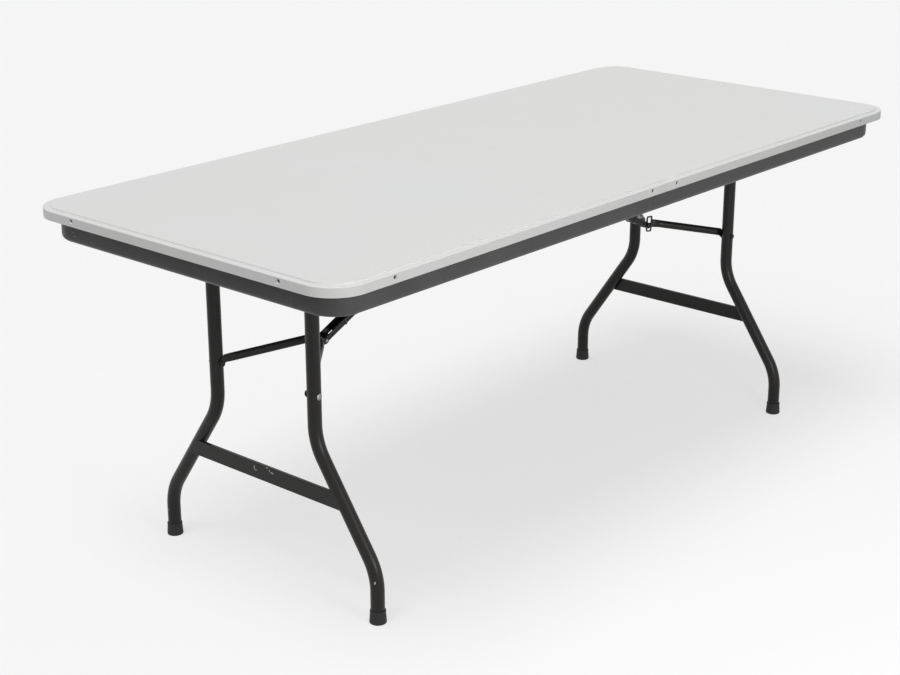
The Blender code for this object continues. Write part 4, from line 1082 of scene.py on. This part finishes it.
for label in ("near", "far"):
    bm = folded_channel(-CHANNEL_END, long_link + CHANNEL_END, CHANNEL_HALF, CHANNEL_FLOOR,
                        CHANNEL_WALL, CHANNEL_BEND)
    for place, facing in (((SLOT_START, 0, 0), (1, 0, 0)), ((SLOT_END, 0, 0), (1, 0, 0)),
                          ((0, -SLOT_WIDTH / 2, 0), (0, 1, 0)), ((0, SLOT_WIDTH / 2, 0), (0, 1, 0))):
        bmesh.ops.bisect_plane(bm, geom=bm.verts[:] + bm.edges[:] + bm.faces[:],
                               plane_co=place, plane_no=facing)
    slot = [f for f in bm.faces if SLOT_START < f.calc_center_median().x < SLOT_END
            and abs(f.calc_center_median().y) < SLOT_WIDTH / 2]
    bmesh.ops.delete(bm, geom=slot, context="FACES")
    channel = add_piece("channel_strip_" + label, bm, tube_paint,
                        turned_frame[label] @ channel_frame)
    thicken(channel, CHANNEL_WALL, 0.0, CHANNEL_SOFT)
    settle(channel)
    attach(channel, label + "_channel")
    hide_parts("brace_channel_" + label)

    for kind, place, length, finish, slot_name in CLIPS:
        bm = folded_channel(place, place + length, CHANNEL_HALF + STOP_BAND,
                            CHANNEL_FLOOR - STOP_BAND, STOP_BAND, CHANNEL_BEND + STOP_BAND)
        clip = add_piece("ring_%s_%s" % (kind, label), bm, finish,
                         turned_frame[label] @ channel_frame)
        thicken(clip, STOP_BAND, 0.0, CLIP_SOFT)
        settle(clip)
        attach(clip, label + "_channel")


# Pins
# The knee pins end in low rivet heads on the ears; the near one's heads are coloured light steel as a
# painted highlight.
# The anchor pins have low heads outside the clevises.
PIN_SHANK = 0.003
PIN_SIDES = 28
RIVET_PROUD = 0.0003
RIVET_FLAT = 0.5
RIVET_RIM = 0.75
RIVET_DEPTH = 0.0012
HEAD_FLAT = 0.6
HEAD_HEIGHTS = (0.0002, 0.0009, 0.0022)
for label in ("near", "far"):
    for name, body in (("knee_pin_", "_channel"), ("anchor_pin_", None)):
        # The near knee pin's heads take the light steel colour as a painted highlight, not wear.
        finish = worn_steel if name + label == "knee_pin_near" else dark_steel
        low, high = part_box(name + label)
        half = (high.y - low.y) / 2
        radius = (high.x - low.x) / 2
        if body:
            proud = half + RIVET_PROUD
            rim = [(proud, CENTRE), (proud, radius * RIVET_FLAT), (half, radius * RIVET_RIM),
                   (half - RIVET_DEPTH, PIN_SHANK)]
        else:
            face, shoulder, base = (half - deep for deep in HEAD_HEIGHTS)
            rim = [(half, CENTRE), (face, radius * HEAD_FLAT), (shoulder, radius),
                   (base, radius), (base, PIN_SHANK)]
        bm = bmesh.new()
        turn_profile(bm, [(-h, r) for h, r in rim] + [(h, r) for h, r in reversed(rim)], PIN_SIDES)
        bmesh.ops.recalc_face_normals(bm, faces=bm.faces)
        middle = (low + high) / 2
        across = (Matrix.Translation((middle.x, 0, middle.z)) @ Matrix.Rotation(-pi / 2, 4, "X"))
        pin = settle(add_piece(name + "rod_" + label, bm, finish, across))
        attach(pin, label + body if body else "table_frame")
        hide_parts(name + label)


# Lock rings
# A loop of round wire over each knee. It drops over the ears to hold the
# brace open, and slides up the channel when the legs fold. It hangs askew.
RING_WIRE = 0.0021
RING_HALF = 0.025
RING_PLACE = 0.021
RING_BELOW = 0.0109
RING_ABOVE = 0.0225
RING_CORNER = 0.007
RING_LEAN = radians(11.5)
RING_SKEW = radians(-46)
WIRE_SIDES = 16
WIRE_BEND_STEPS = 8
RING_STEEL = (0.060, 0.058, 0.056)
RING_ROUGHNESS = 0.34
ring_steel = dark_metal("ring_steel", RING_STEEL, RING_ROUGHNESS)
for label in ("near", "far"):
    bm = bmesh.new()
    start = Vector((0, 0, -RING_BELOW))
    ring = start_ring(bm, start, (0, 1, 0), RING_WIRE, WIRE_SIDES)
    quarter = (0, RING_CORNER, pi / 2)
    flat = RING_HALF - RING_CORNER
    tall = RING_ABOVE + RING_BELOW - 2 * RING_CORNER
    sweep(bm, ring, start, (0, 1, 0), (1, 0, 0),
          [(flat, 0, 0), quarter, (tall, 0, 0), quarter, (2 * flat, 0, 0), quarter,
           (tall, 0, 0), quarter, (flat, 0, 0)], WIRE_BEND_STEPS)
    bmesh.ops.remove_doubles(bm, verts=bm.verts, dist=MERGE * 10)
    bmesh.ops.recalc_face_normals(bm, faces=bm.faces)
    askew = (channel_frame @ Matrix.Translation((-RING_PLACE, 0, 0))
             @ Matrix.Rotation(RING_SKEW, 4, "Z") @ Matrix.Rotation(RING_LEAN, 4, "Y"))
    loop = settle(add_piece("wire_ring_" + label, bm, ring_steel, turned_frame[label] @ askew))
    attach(loop, label + "_ring")
    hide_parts("lock_ring_" + label)
